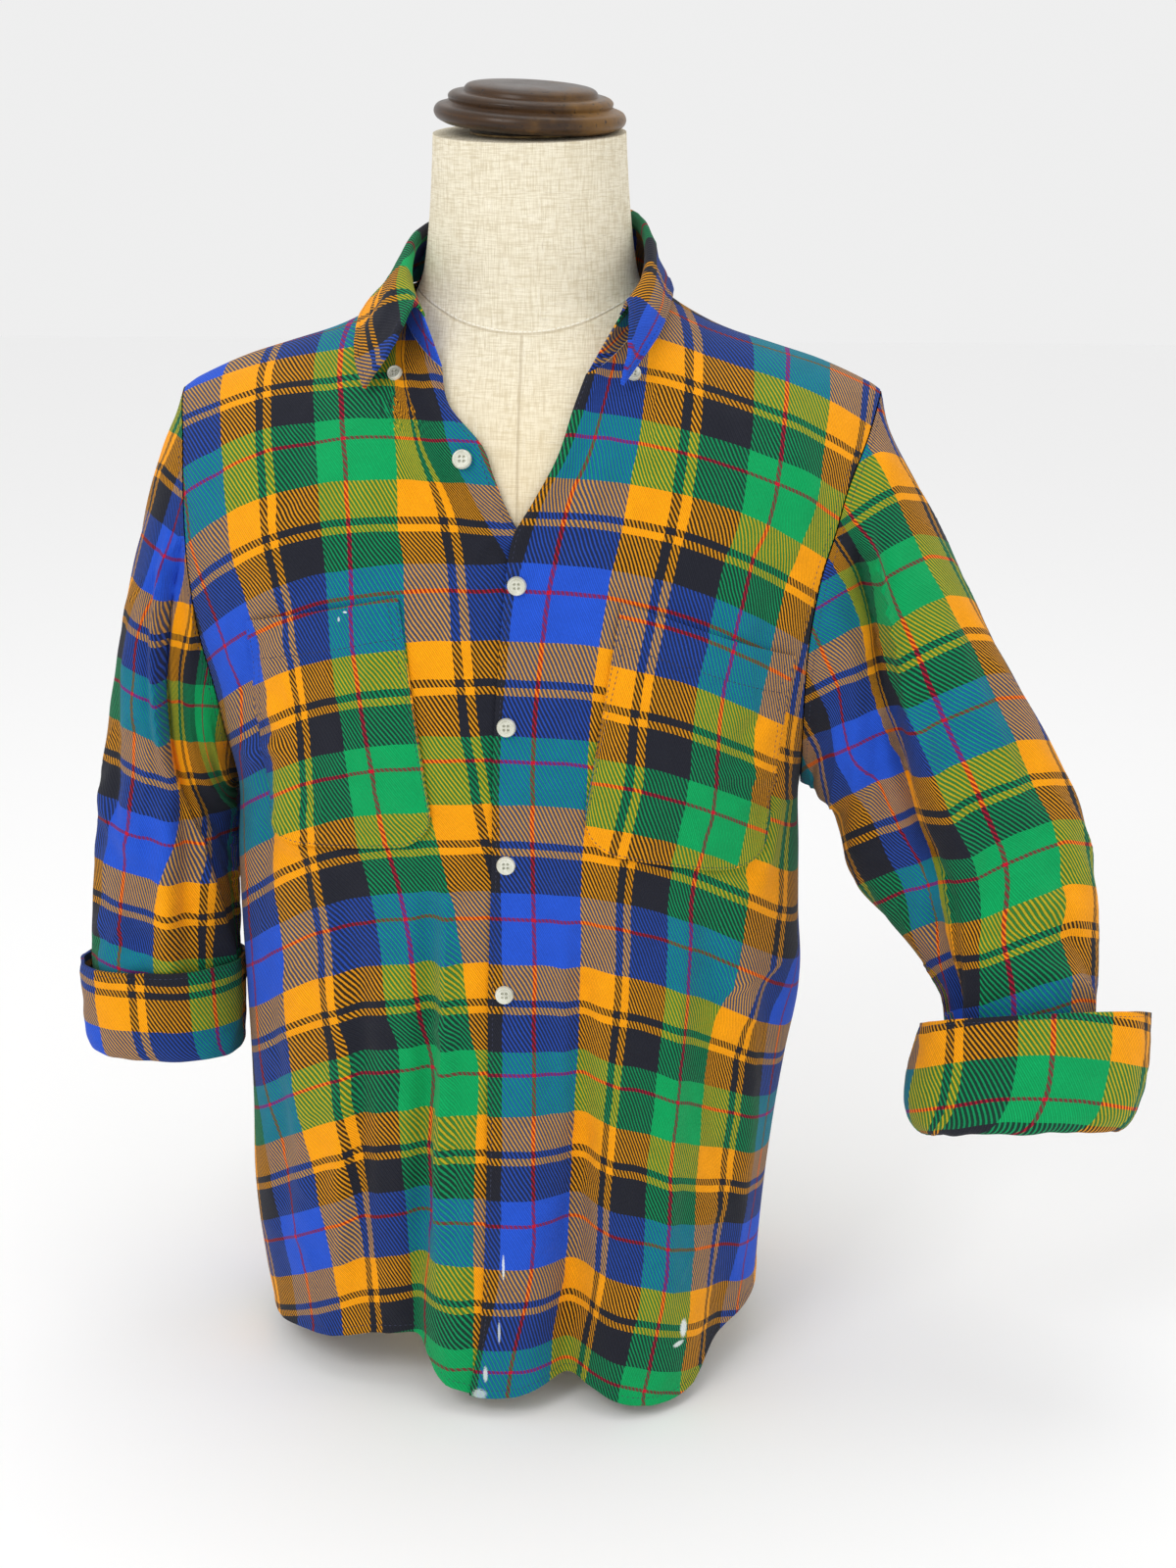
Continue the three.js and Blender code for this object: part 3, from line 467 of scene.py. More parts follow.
def panel_place(face, side, across, up):
    """x and z of a panel's point: across from its inner edge to the side, up 0 at the hem,
    1 at the chest and 2 at the shoulder."""
    spread = 0.4 * across + 0.6 * np.sin(across * math.pi / 2)
    hem_rows = FRONT_HEM if face == "front" else BACK_HEM
    z = np.full_like(across, CHEST_Z)
    x = np.zeros_like(across)
    for _ in range(6):
        edge = front_edge_x(side, z) if face == "front" else 0.0
        x = edge + (seam_x(side, z) - edge) * spread
        hem = read(hem_rows, "x", "z", x)
        low = hem + (CHEST_Z - hem) * up
        rise = np.sin(np.clip(up - 1, 0, 1) * math.pi / 2)
        high = CHEST_Z + (top_edge_z(face, x) - CHEST_Z) * rise
        z = np.where(up <= 1, low, high)
    return x, z


def surface(face, side, x, z):
    """Outer points of a panel at these places."""
    depth = body_depth(face, x, z)
    if face == "front" and side < 0:
        inside = smooth_step((x - read(LEFT_EDGE, "z", "x", z) + 16) / 12)
        depth = depth - LAP_STEP * inside
    y = depth + SEAM_GAP / 2
    return np.stack([x, -y if face == "front" else y, z], axis=-1)


def front_normal(side, x, z):
    x, z = np.asarray(x, float), np.asarray(z, float)
    step = 2.0
    along = surface("front", side, x + step, z) - surface("front", side, x - step, z)
    up = surface("front", side, x, z + step) - surface("front", side, x, z - step)
    return unit(np.cross(along, up))


def unit(vectors):
    return vectors / np.maximum(np.linalg.norm(vectors, axis=-1, keepdims=True), 1e-9)


def grid_normals(grid, closed=False):
    if closed:
        wrapped = np.concatenate([grid[:, -1:], grid, grid[:, :1]], axis=1)
        along = wrapped[:, 2:] - wrapped[:, :-2]
    else:
        along = np.gradient(grid, axis=1)
    return unit(np.cross(along, np.gradient(grid, axis=0)))


def outward_normals(grid, reference, closed=False):
    """Grid normals on the side of a reference direction or away from a middle line."""
    normals = grid_normals(grid, closed)
    return normals * (1 if (normals * reference).sum() > 0 else -1)


def arc_length(grid, axis):
    steps = np.linalg.norm(np.diff(grid, axis=axis), axis=-1)
    pad = [(0, 0), (0, 0)]
    pad[axis] = (1, 0)
    return np.pad(np.cumsum(steps, axis=axis), pad)


def waves(a, b, seed, size, count=9):
    """Soft uneven relief, about -1 to 1, with humps of roughly the given size."""
    chance = np.random.default_rng(seed)
    total = np.zeros_like(a)
    for _ in range(count):
        angle = chance.uniform(0, math.pi)
        length = size * chance.uniform(1.3, 3.2)
        phase = chance.uniform(0, 2 * math.pi)
        turn = 2 * math.pi * (a * math.cos(angle) + b * math.sin(angle)) / length
        total += np.sin(turn + phase)
    return total / math.sqrt(count)


def crumple(a, b, seed):
    """Wide soft hollows with a few sharper ridges across them."""
    wide = waves(a, b * 0.8, seed, 42)
    ridges = 1 - 2 * np.abs(waves(a, b * 0.7, seed + 1, 34))
    return 1.3 * wide + 0.9 * np.clip(ridges, 0, 1) ** 2 + 0.4 * waves(a, b, seed + 2, 13)


def crease_relief(creases, a, b):
    """Ridges and troughs along short slanted lines. The far side of each is steeper."""
    total = np.zeros_like(a)
    for a0, b0, a1, b1, bow, width, height in zip(*creases.values()):
        run = math.hypot(a1 - a0, b1 - b0)
        ua, ub = (a1 - a0) / run, (b1 - b0) / run
        along = ((a - a0) * ua + (b - b0) * ub) / run
        inside = np.clip(along, 0, 1)
        off = (b - b0) * ua - (a - a0) * ub - bow * 4 * inside * (1 - inside)
        ends = smooth_step(along / 0.3) * smooth_step((1 - along) / 0.3)
        near = np.exp(-((off / width) ** 2))
        lip = np.exp(-(((off - 1.7 * width) / (1.2 * width)) ** 2))
        total += height * ends * (near - 0.35 * lip)
    return total


CREASE_COLUMNS = "a0 b0 a1 b1 bow width height"

# Creases of the fronts: start and end as x and z
FRONT_CREASES = table(
    CREASE_COLUMNS,
    (-42, 392, -54, 60, 3, 5, 5),
    (-54, 400, -68, 40, 3, 7, -5),
    (-96, 330, -104, 40, -4, 9, -4),
    (-112, 300, -122, 30, 3, 8, 3.5),
    (-128, 372, -118, 250, 6, 8, 3),
    (-158, 470, -172, 300, 5, 8, -4),
    (-170, 300, -160, 60, 4, 9, -3.5),
    (-186, 430, -120, 540, 8, 7, -2.4),
    (-184, 408, -136, 436, 4, 6, 3.2),
    (-176, 380, -120, 352, -5, 7, -2.4),
    (-66, 655, -30, 570, 3, 6, -4),
    (-54, 655, -20, 578, 3, 6, 3.2),
    (-120, 640, -150, 560, 5, 10, -2),
    (-10, 282, -66, 246, -3, 6, 2.2),
    (-12, 366, -62, 338, -3, 6, 1.8),
    (-12, 452, -58, 436, -2, 6, 1.4),
    (26, 372, 26, 120, 4, 7, 4),
    (42, 352, 38, 40, -3, 9, -4),
    (60, 330, 58, 80, 4, 7, 2.4),
    (104, 360, 94, 40, -4, 7, 5),
    (118, 380, 112, 40, 3, 9, -5),
    (6, 455, 44, 440, 2, 6, 1.3),
    (0, 366, 50, 350, 3, 6, 1.8),
    (-2, 284, 50, 302, 3, 6, 1.8),
    (150, 468, 128, 388, -6, 8, -3.5),
    (164, 430, 140, 330, 5, 7, 4),
    (168, 402, 112, 420, -5, 6, 2.6),
    (164, 350, 110, 366, 5, 6, -2.6),
    (140, 330, 136, 60, 5, 8, 3.5),
    (60, 650, 130, 600, 6, 9, -2.2),
    (58, 640, 30, 556, 4, 6, 2.6),
    (150, 640, 176, 560, 4, 9, 2.4),
    (120, 560, 166, 520, 5, 8, -2.2),
)
BACK_CREASES = table(
    CREASE_COLUMNS,
    (-170, 560, -120, 470, -6, 8, -2.0),
    (-150, 470, -160, 250, 5, 10, 2.4),
    (-70, 420, -76, 60, -4, 8, 2.4),
    (-30, 520, -24, 260, 4, 9, -1.8),
    (20, 380, 24, 40, -3, 8, 2.0),
    (64, 460, 70, 120, 5, 8, -2.0),
    (112, 500, 118, 60, 5, 9, 2.4),
    (140, 430, 134, 240, -4, 9, -2.0),
    (160, 560, 118, 486, 6, 8, -1.8),
    (-120, 330, -126, 60, 4, 9, -2.2),
    (0, 560, 8, 470, 2, 12, 1.4),
    (-60, 330, -20, 300, 4, 7, 1.2),
    (90, 300, 40, 270, -4, 7, 1.2),
)


def front_relief(side, x, z):
    """Small folds of a front, calm at its seams and where the fronts lap."""
    name = "right" if side < 0 else "left"
    relief = crease_relief(FRONT_CREASES, x, z)
    relief += crumple(x, z, 11)
    rim = seam_x(side, z) - x
    seam = smooth_step(np.abs(rim) / 26)
    top = smooth_step((top_edge_z("front", x) - z) / 30)
    edge_away = np.abs(x - front_edge_x(side, z))
    lap = 0.25 + 0.75 * smooth_step((edge_away - 14) / 16) if name == "left" else 1.0
    if name == "right":
        under = smooth_step((read(LEFT_EDGE, "z", "x", z) + 2 - x) / 12)
        lap = np.where(z < 560, under, 0.3 + 0.7 * smooth_step(edge_away / 18))
    high = 0.45 + 0.55 * smooth_step((640 - z) / 60)
    return relief * seam * top * lap * high


def back_relief(x, z):
    relief = crease_relief(BACK_CREASES, x, z)
    relief += crumple(x, z, 21)
    side = np.where(x < 0, -1.0, 1.0)
    seam_away = np.where(x < 0, np.abs(seam_x(-1, z) - x), np.abs(seam_x(1, z) - x))
    top = smooth_step((top_edge_z("back", x) - z) / 30)
    yoke = 0.3 + 0.7 * smooth_step(np.abs(z - YOKE_SEAM_Z) / 14)
    high = 0.3 + 0.7 * smooth_step((620 - z) / 80)
    return relief * smooth_step(seam_away / 26) * top * yoke * high * np.abs(side)


# Where the photo shows warp lines of the fronts, by height, each named by its place in the
# repeat. The right front's two inner lines crowd together above, where a fold takes cloth up.
WARP_LINES = {
    "right": table(
        "z -216.8 -97.8 -65.8 -28.2 0",
        (20, -139, -62, -29.8, 8, 36),
        (59, -143.8, -61, -28.8, 9, 37),
        (145, -160.8, -60, -27.8, 10, 38),
        (188, -173.4, -58.8, -26.7, 11, 39),
        (232, -177, -56.3, -24.4, 13, 42),
        (263, -178.5, -61.9, -29.7, 8, 36),
        (331, -180, -69, -36.8, 1, 29),
        (385, -181, -81.1, -49.1, -11.5, 17),
        (456, -174, -92.1, -60.1, -22.5, 6),
        (493, -183.9, -96, -64, -26.4, 2),
        (528, -195, -98.2, -66.2, -28.6, 0),
        (549, -202.6, -98.6, -67, -30, -4),
        (570, -206, -99.6, -69.7, -34, -15),
        (591, -210, -100.8, -69.9, -41, -27),
        (618, -214, -104, -70.7, -55.4, -40),
        (640, -218, -107.5, -71.7, -63.2, -46),
        (663, -222, -111.3, -73.5, -70, -56),
    ),
    "left": table(
        "z 0 19.5 138.3 255.8",
        (16, -27, -7.5, 78.5, 136),
        (46, -22.5, -3, 84, 138.6),
        (93, -12.6, 6.9, 91, 145),
        (175, -10, 9.5, 93.5, 155.3),
        (242, -9.3, 10.2, 99, 163),
        (273, -9.1, 10.4, 102, 172.4),
        (309, -8.9, 10.6, 104.1, 180),
        (353, -9.5, 10, 105.7, 186),
        (403, -9.8, 9.7, 116.3, 200),
        (469, -7, 12.5, 120.6, 214),
        (534, 0, 19.6, 134, 230),
        (551, 4.2, 23.1, 139, 236),
        (571, 11, 27, 147, 240),
        (591, 19, 32.4, 151, 244),
        (611, 30, 41.5, 153, 248),
        (636, 39, 48.5, 155.5, 250),
        (661, 46, 55, 157, 252),
    ),
}
# How far the weft lines hang at the side seam below their height at the middle
DROOP = table("z right left", (0, 75, 95), (300, 72, 92), (420, 58, 80), (534, 46, 67), (660, 34, 50))
DROOP_WIDTH = 190.0
DROOP_POWER = {"right": 3.0, "left": 2.3}


def zero_crossing(values, along):
    """Where each row of values first crosses zero, read along its own lengths."""
    found = np.empty(len(values))
    for row in range(len(values)):
        order = np.argsort(values[row])
        found[row] = np.interp(0, values[row][order], along[row][order])
        low, high = values[row][order][0], values[row][order][-1]
        first, last = along[row][order][0], along[row][order][-1]
        if low > 0:
            found[row] = first + low * np.sign(first - last)
        elif high < 0:
            found[row] = last - high * np.sign(last - first)
    return found


def between_lines(length, places, values):
    """Place across the warp: known at some lines, at true length beyond them."""
    grows = np.sign(values[1] - values[0])
    found = values[0] + grows * (length - places[0])
    for index in range(len(values) - 1):
        start, end = places[index], places[index + 1]
        share = (length - start) / np.maximum(end - start, 1)
        inside = values[index] + (values[index + 1] - values[index]) * share
        found = np.where(length > start, inside, found)
    return np.where(length > places[-1], values[-1] + grows * (length - places[-1]), found)


def front_warp(side, x, z, points):
    """Place of each point across the warp, set by the lines that the photo shows."""
    length = arc_length(points, 1) * side
    lines = WARP_LINES["right" if side < 0 else "left"]
    marks = [column for column in lines if column != "z"]
    places = [zero_crossing(x - read(lines, "z", mark, z), length)[:, None] for mark in marks]
    return between_lines(length, places, [float(mark) for mark in marks])


def hung_weft(x, z):
    """Weft place below the chest: the lines hang lower towards the sides."""
    sag = by_side(DROOP, "z", z, x)
    power = np.where(x < 0, DROOP_POWER["right"], DROOP_POWER["left"])
    return z + sag * (np.abs(x) / DROOP_WIDTH) ** power


def body_weft(x, z, points, rows_to_chest):
    """Height of each point in the cloth, measured up the slope above the chest."""
    climb = arc_length(points[rows_to_chest:], 0)
    weft = hung_weft(x, z)
    weft[rows_to_chest:] += CHEST_Z + climb - z[rows_to_chest:]
    return weft


def ride_as(piece, nodes):
    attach(piece, "root")
    if nodes:
        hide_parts(*nodes)
    return piece


def finish_mesh(name, points, faces, material, weave=None, sharp=50):
    """A smooth-shaded mesh with its faces turned outward."""
    mesh = bpy.data.meshes.new(name)
    mesh.from_pydata(points.tolist(), [], faces.tolist() if hasattr(faces, "tolist") else faces)
    if weave is not None:
        layer = mesh.uv_layers.new(name="weave")
        layer.data.foreach_set("uv", weave.astype(np.float32).ravel())
    shape = bmesh.new()
    shape.from_mesh(mesh)
    bmesh.ops.recalc_face_normals(shape, faces=shape.faces)
    shape.to_mesh(mesh)
    shape.free()
    mesh.polygons.foreach_set("use_smooth", np.ones(len(mesh.polygons), bool))
    mesh.set_sharp_from_angle(angle=math.radians(sharp))
    mesh.materials.append(material)
    piece = bpy.data.objects.new(name, mesh)
    bpy.context.collection.objects.link(piece)
    return piece


def shell(name, outer, inner, weave, material, closed=False):
    """A thin closed shell between two grids. weave is each point's place in the cloth, with
    one more column than the grid where the shell closes on itself."""
    rows, columns = outer.shape[:2]
    cells = columns if closed else columns - 1
    row, column = np.indices((rows - 1, cells)).reshape(2, -1)
    rim = np.arange(cells)
    side = np.arange(rows - 1)

    def quads(*corners):
        parts = [np.stack(np.broadcast_arrays(*corner), axis=-1) for corner in corners]
        return np.stack(parts, axis=1)

    groups = [
        quads((layer, row, column), (layer, row, column + 1), (layer, row + 1, column + 1), (layer, row + 1, column))
        for layer in (0, 1)
    ]
    for end in (0, rows - 1):
        groups.append(quads((0, end, rim), (1, end, rim), (1, end, rim + 1), (0, end, rim + 1)))
    if not closed:
        for end in (0, columns - 1):
            groups.append(quads((0, side, end), (0, side + 1, end), (1, side + 1, end), (1, side, end)))
    corners = np.concatenate(groups)
    layer, row, column = corners[..., 0], corners[..., 1], corners[..., 2]
    faces = layer * rows * columns + row * columns + column % columns
    points = np.concatenate([outer.reshape(-1, 3), inner.reshape(-1, 3)]) * MM
    return finish_mesh(name, points, faces, material, weave[row, column] * MM)


def declare_sheet(grid, closed=False):
    """Works out a cloth piece's width, length and area along its smooth surface, and keeps none of them."""
    if closed:
        grid = np.concatenate([grid, grid[:, :1]], axis=1)
    width = np.linalg.norm(np.diff(grid, axis=1), axis=-1).sum(axis=1).max() * MM
    length = np.linalg.norm(np.diff(grid, axis=0), axis=-1).sum(axis=0).max() * MM
    across = grid[1:, 1:] - grid[:-1, :-1]
    over = grid[1:, :-1] - grid[:-1, 1:]
    area = np.linalg.norm(np.cross(across, over), axis=-1).sum() / 2 * MM * MM
    area = min(area, width * length)


# Materials


class Shader:
    """Short ways to add the nodes of one material."""

    def __init__(self, name):
        self.material = bpy.data.materials.new(name)
        self.material.use_nodes = True
        self.nodes = self.material.node_tree.nodes
        self.links = self.material.node_tree.links
        self.surface = self.nodes["Principled BSDF"]

    def put(self, socket, value):
        if isinstance(value, bpy.types.NodeSocket):
            self.links.new(value, socket)
        else:
            socket.default_value = value

    def node(self, kind, inputs=(), **settings):
        node = self.nodes.new(kind)
        for key, value in settings.items():
            setattr(node, key, value)
        for key, value in dict(inputs).items():
            self.put(node.inputs[key], value)
        return node

    def math(self, operation, first, second=0.0, third=0.0, clamp=False):
        inputs = {0: first, 1: second, 2: third}
        return self.node("ShaderNodeMath", inputs, operation=operation, use_clamp=clamp).outputs[0]

    def mix(self, share, first, second, blend="MIX"):
        inputs = {0: share, 6: first, 7: second}
        settings = dict(data_type="RGBA", blend_type=blend)
        return self.node("ShaderNodeMix", inputs, **settings).outputs[2]

    def noise(self, place, scale, detail=2.0, roughness=0.5):
        inputs = {"Vector": place, "Scale": scale, "Detail": detail, "Roughness": roughness}
        return self.node("ShaderNodeTexNoise", inputs).outputs["Fac"]

    def spread(self, value, low, high, first=0.0, last=1.0):
        inputs = {0: value, 1: low, 2: high, 3: first, 4: last}
        return self.node("ShaderNodeMapRange", inputs, interpolation_type="SMOOTHSTEP").outputs[0]

    def ramp(self, value, stops, mode="LINEAR"):
        node = self.node("ShaderNodeValToRGB", {0: value})
        node.color_ramp.interpolation = mode
        elements = node.color_ramp.elements
        elements[0].position, elements[0].color = stops[0][0], (*stops[0][1], 1)
        elements[1].position, elements[1].color = stops[1][0], (*stops[1][1], 1)
        for position, colour in stops[2:]:
            elements.new(position).color = (*colour, 1)
        return node.outputs[0]

    def place(self):
        return self.node("ShaderNodeTexCoord").outputs["Object"]

    def stretched(self, place, scale):
        return self.node("ShaderNodeMapping", {"Vector": place, "Scale": scale}).outputs[0]

    def bump(self, height, strength, distance, under=None):
        inputs = {"Height": height, "Strength": strength, "Distance": distance}
        if under is not None:
            inputs["Normal"] = under
        return self.node("ShaderNodeBump", inputs).outputs[0]

    def finish(self, **sockets):
        for name, value in sockets.items():
            self.put(self.surface.inputs[name.replace("_", " ")], value)
        return self.material


def sett_stops():
    stops, at = [], 0.0
    for name, width in SETT:
        stops.append((at / WEFT_REPEAT, YARN[name]))
        at += width
    return stops


# Pale marks on the fronts: middle as x and z, then reach across and up, and strength
MARKS = table(
    "x z wide high strength",
    (104, 55, 2.2, 7, 0.9),
    (101, 46, 3.4, 1.8, 0.8),
    (-9, 106, 0.9, 9, 0.75),
    (-12, 61, 0.9, 8, 0.6),
    (-21, 31, 1.6, 6, 0.7),
    (-25, 17, 5, 4, 0.5),
    (-101, 519.5, 1.4, 0.7, 0.8),
    (-105, 515, 0.8, 1.6, 0.6),
)


def wear(s, fuzz):
    """How much of a pale mark covers each place: a stain, frayed threads and lint."""
    split = s.node("ShaderNodeSeparateXYZ", {0: s.place()})
    total = 0.0
    for x, z, wide, high, strength in zip(*MARKS.values()):
        across = s.math("MULTIPLY_ADD", split.outputs[0], 1 / MM / wide, -x / wide)
        up = s.math("MULTIPLY_ADD", split.outputs[2], 1 / MM / high, -z / high)
        away = s.math("ADD", s.math("MULTIPLY", across, across), s.math("MULTIPLY", up, up))
        away = s.math("ADD", away, s.math("MULTIPLY", fuzz, 2.0))
        total = s.math("MAXIMUM", total, s.spread(away, 1.3, 2.2, strength, 0.0))
    in_front = s.math("LESS_THAN", split.outputs[1], 0.0)
    return s.math("MULTIPLY", total, in_front)


def flannel(name, wrong_side=False):
    """Brushed twill plaid. Warp and weft stripes cross, and the twill's slanted floats show
    one or the other, so that two colours hatch where they meet."""
    s = Shader(name)
    uv = s.node("ShaderNodeUVMap", uv_map="weave").outputs[0]
    split = s.node("ShaderNodeSeparateXYZ", {0: uv})
    soft = s.noise(uv, 30.0, 2.0)
    drift = s.math("MULTIPLY", s.math("SUBTRACT", soft, 0.5), 2.4)
    warp = s.math("MULTIPLY_ADD", split.outputs[0], 1 / MM, drift)
    weft = s.math("MULTIPLY_ADD", split.outputs[1], 1 / MM, drift)
    fuzz = s.noise(uv, 900.0, 3.0, 0.7)
    slant = -1 / TWILL_DOWN if wrong_side else 1 / TWILL_DOWN
    phase = s.math("MULTIPLY_ADD", weft, slant, s.math("DIVIDE", warp, TWILL_ACROSS))
    phase = s.math("MULTIPLY_ADD", fuzz, 0.22, phase)
    line = s.math("FRACT", phase)
    ridge = s.math("ABSOLUTE", s.math("MULTIPLY_ADD", line, 2.0, -1.0))
    shown = s.spread(ridge, 0.36, 0.64)

    warp_at = s.math("FRACT", s.math("DIVIDE", warp, WARP_REPEAT))
    weft_at = s.math("FRACT", s.math("DIVIDE", s.math("SUBTRACT", WEFT_TOP, weft), WEFT_REPEAT))
    warp_yarn = s.ramp(warp_at, sett_stops(), "CONSTANT")
    weft_yarn = s.ramp(weft_at, sett_stops(), "CONSTANT")
    share = s.math("MULTIPLY_ADD", shown, HATCH, (1 - HATCH) / 2)
    cloth = s.mix(share, weft_yarn, warp_yarn)
    contrast = s.node("ShaderNodeVectorMath", {0: weft_yarn, 1: warp_yarn}, operation="DISTANCE").outputs[1]
    crossed = s.math("MULTIPLY_ADD", contrast, -0.22, 1.0)
    lighter = s.node("ShaderNodeVectorMath", {0: warp_yarn, 1: weft_yarn}, operation="SUBTRACT").outputs[0]
    lighter = s.node("ShaderNodeVectorMath", {0: lighter, 1: BRIGHTNESS}, operation="DOT_PRODUCT").outputs[1]
    on_top = s.math("MULTIPLY", s.math("MULTIPLY_ADD", shown, 2.0, -1.0), lighter)
    crossed = s.math("MULTIPLY", crossed, s.math("MULTIPLY_ADD", on_top, FLOAT_CONTRAST, 1.0))

    nap = s.noise(s.stretched(uv, (1.0, 0.35, 1.0)), 1500.0, 2.0, 0.8)
    patches = s.noise(uv, 60.0, 4.0, 0.6)
    # Darkness of the cloth: its own uneven tone from the nap and patches, with painted shade of the twill added below
    tone_and_shade = s.math("MULTIPLY_ADD", nap, 0.5, 0.74)
    tone_and_shade = s.math("MULTIPLY", tone_and_shade, s.math("MULTIPLY_ADD", patches, 0.3, 0.85))
    # Painted shade: darker in the grooves between the twill's floats, and a painted lighter crest on each float
    painted_groove_shade = s.spread(s.math("ABSOLUTE", s.math("SUBTRACT", ridge, 0.5)), 0.0, 0.3, 0.6, 1.0)
    tone_and_shade = s.math("MULTIPLY", tone_and_shade, s.math("MULTIPLY", painted_groove_shade, s.math("MULTIPLY_ADD", ridge, 0.1, 0.95)))
    tone_and_shade = s.math("MULTIPLY", tone_and_shade, crossed)
    linear = s.node("ShaderNodeGamma", {0: cloth, 1: 2.2}).outputs[0]
    shaded = s.node("ShaderNodeVectorMath", {0: linear, "Scale": tone_and_shade}, operation="SCALE").outputs[0]
    lint = s.math("MULTIPLY", s.spread(fuzz, 0.56, 0.8), 0.03)
    worn = s.mix(lint, shaded, (0.55, 0.56, 0.58, 1))
    worn = s.mix(wear(s, fuzz), worn, (0.82, 0.88, 0.86, 1))

    relief = s.math("MULTIPLY_ADD", fuzz, 0.8, s.math("MULTIPLY", ridge, 0.7))
    bumped = s.bump(relief, 0.5, 0.0006)
    s.surface.inputs["Sheen Weight"].default_value = 0.05
    s.surface.inputs["Sheen Roughness"].default_value = 0.6
    s.surface.inputs["Specular IOR Level"].default_value = 0.15
    return s.finish(Base_Color=worn, Roughness=0.95, Normal=bumped)


def linen():
    """Cream plain weave with thicker beige slubs both ways."""
    s = Shader("linen_natural")
    place = s.place()
    across = s.noise(s.stretched(place, (90.0, 90.0, 1300.0)), 1.0, 3.0, 0.6)
    upward = s.noise(s.stretched(place, (1300.0, 90.0, 90.0)), 1.0, 3.0, 0.6)
    slub_across = s.spread(across, 0.62, 0.76)
    slub_upward = s.spread(upward, 0.62, 0.76)
    slubs = s.math("MAXIMUM", slub_across, slub_upward)
    weave = s.math("MULTIPLY", across, upward)
    ground = s.ramp(weave, [(0.15, (0.62, 0.54, 0.38)), (0.34, (0.9, 0.84, 0.68))])
    colour = s.mix(s.math("MULTIPLY", slubs, 0.55), ground, (0.4, 0.3, 0.18, 1))
    patches = s.noise(place, 18.0, 3.0)
    colour = s.mix(s.math("MULTIPLY", patches, 0.3), colour, (0.72, 0.64, 0.47, 1))
    height = s.node("ShaderNodeSeparateXYZ", {0: place}).outputs[2]
    warm = s.spread(height, 0.56, 0.7, 0.3, 0.0)
    colour = s.mix(warm, colour, (0.93, 0.7, 0.36, 1))
    seam, stitch = form_seams(s, place)
    colour = s.mix(s.math("MULTIPLY", seam, 0.35), colour, (0.36, 0.27, 0.15, 1))
    colour = s.mix(s.math("MULTIPLY", stitch, 0.8), colour, (0.9, 0.86, 0.74, 1))
    relief = s.math("MULTIPLY_ADD", slubs, 0.6, weave)
    relief = s.math("MULTIPLY_ADD", seam, -1.2, relief)
    bumped = s.bump(relief, 0.5, 0.0006)
    s.surface.inputs["Specular IOR Level"].default_value = 0.2
    return s.finish(Base_Color=colour, Roughness=0.92, Normal=bumped)


NECK_SEAM_Z = 677.0
NECK_SEAM_RISE = 0.0046
SEAM_MIDDLE_X = 0.5


def form_seams(s, place):
    """The curved neck seam and the straight centre seam of the linen cover, and the neck
    seam's stitches."""
    split = s.node("ShaderNodeSeparateXYZ", {0: place})
    x = s.math("MULTIPLY_ADD", split.outputs[0], 1 / MM, -SEAM_MIDDLE_X)
    z = s.math("MULTIPLY", split.outputs[2], 1 / MM)
    curve = s.math("MULTIPLY_ADD", s.math("MULTIPLY", x, x), NECK_SEAM_RISE, NECK_SEAM_Z)
    above = s.math("SUBTRACT", z, curve)
    neck = s.spread(s.math("ABSOLUTE", above), 0.3, 0.9, 1.0, 0.0)
    dash = s.math("GREATER_THAN", s.math("FRACT", s.math("MULTIPLY", x, 0.36)), 0.35)
    in_front = s.math("LESS_THAN", split.outputs[1], 0.0)
    centre = s.spread(s.math("ABSOLUTE", x), 0.3, 1.0, 1.0, 0.0)
    centre = s.math("MULTIPLY", centre, s.math("MULTIPLY", s.math("LESS_THAN", above, 0.0), in_front))
    stitch = s.spread(s.math("ABSOLUTE", s.math("SUBTRACT", above, 1.4)), 0.2, 0.6, 1.0, 0.0)
    stitch = s.math("MULTIPLY", stitch, s.math("MULTIPLY", dash, in_front))
    return s.math("MAXIMUM", s.math("MULTIPLY", neck, in_front), centre), stitch


def old_varnish():
    """Dark varnished wood, turning golden in clouds towards the wearer's left, with black specks and pits."""
    s = Shader("wood_varnished")
    place = s.place()
    grain = s.noise(s.stretched(place, (18.0, 18.0, 260.0)), 1.0, 5.0, 0.65)
    clouds = s.noise(place, 34.0, 5.0, 0.6)
    wood = s.ramp(grain, [(0.3, (0.012, 0.005, 0.002)), (0.7, (0.065, 0.028, 0.007))])
    right = s.node("ShaderNodeSeparateXYZ", {0: place}).outputs[0]
    golden = s.math("MULTIPLY_ADD", right, 6.0, clouds)
    colour = s.mix(s.spread(golden, 0.55, 1.0), wood, (0.18, 0.085, 0.014, 1))
    specks = s.spread(s.noise(place, 420.0, 2.0, 0.6), 0.62, 0.7)
    colour = s.mix(s.math("MULTIPLY", specks, 0.85), colour, (0.008, 0.006, 0.005, 1))
    relief = s.math("MULTIPLY_ADD", specks, -1.0, clouds)
    bumped = s.bump(relief, 0.35, 0.0008)
    rough = s.math("MULTIPLY_ADD", clouds, 0.3, 0.2)
    s.surface.inputs["Coat Weight"].default_value = 0.06
    s.surface.inputs["Coat Roughness"].default_value = 0.35
    s.surface.inputs["Specular IOR Level"].default_value = 0.3
    return s.finish(Base_Color=colour, Roughness=rough, Normal=bumped)


def aged_brass():
    s = Shader("brass_aged")
    place = s.place()
    clouds = s.noise(place, 90.0, 4.0, 0.6)
    colour = s.ramp(clouds, [(0.3, (0.1, 0.06, 0.025)), (0.7, (0.42, 0.28, 0.11))])
    bumped = s.bump(clouds, 0.3, 0.0005)
    return s.finish(Base_Color=colour, Metallic=0.7, Roughness=0.5, Normal=bumped)


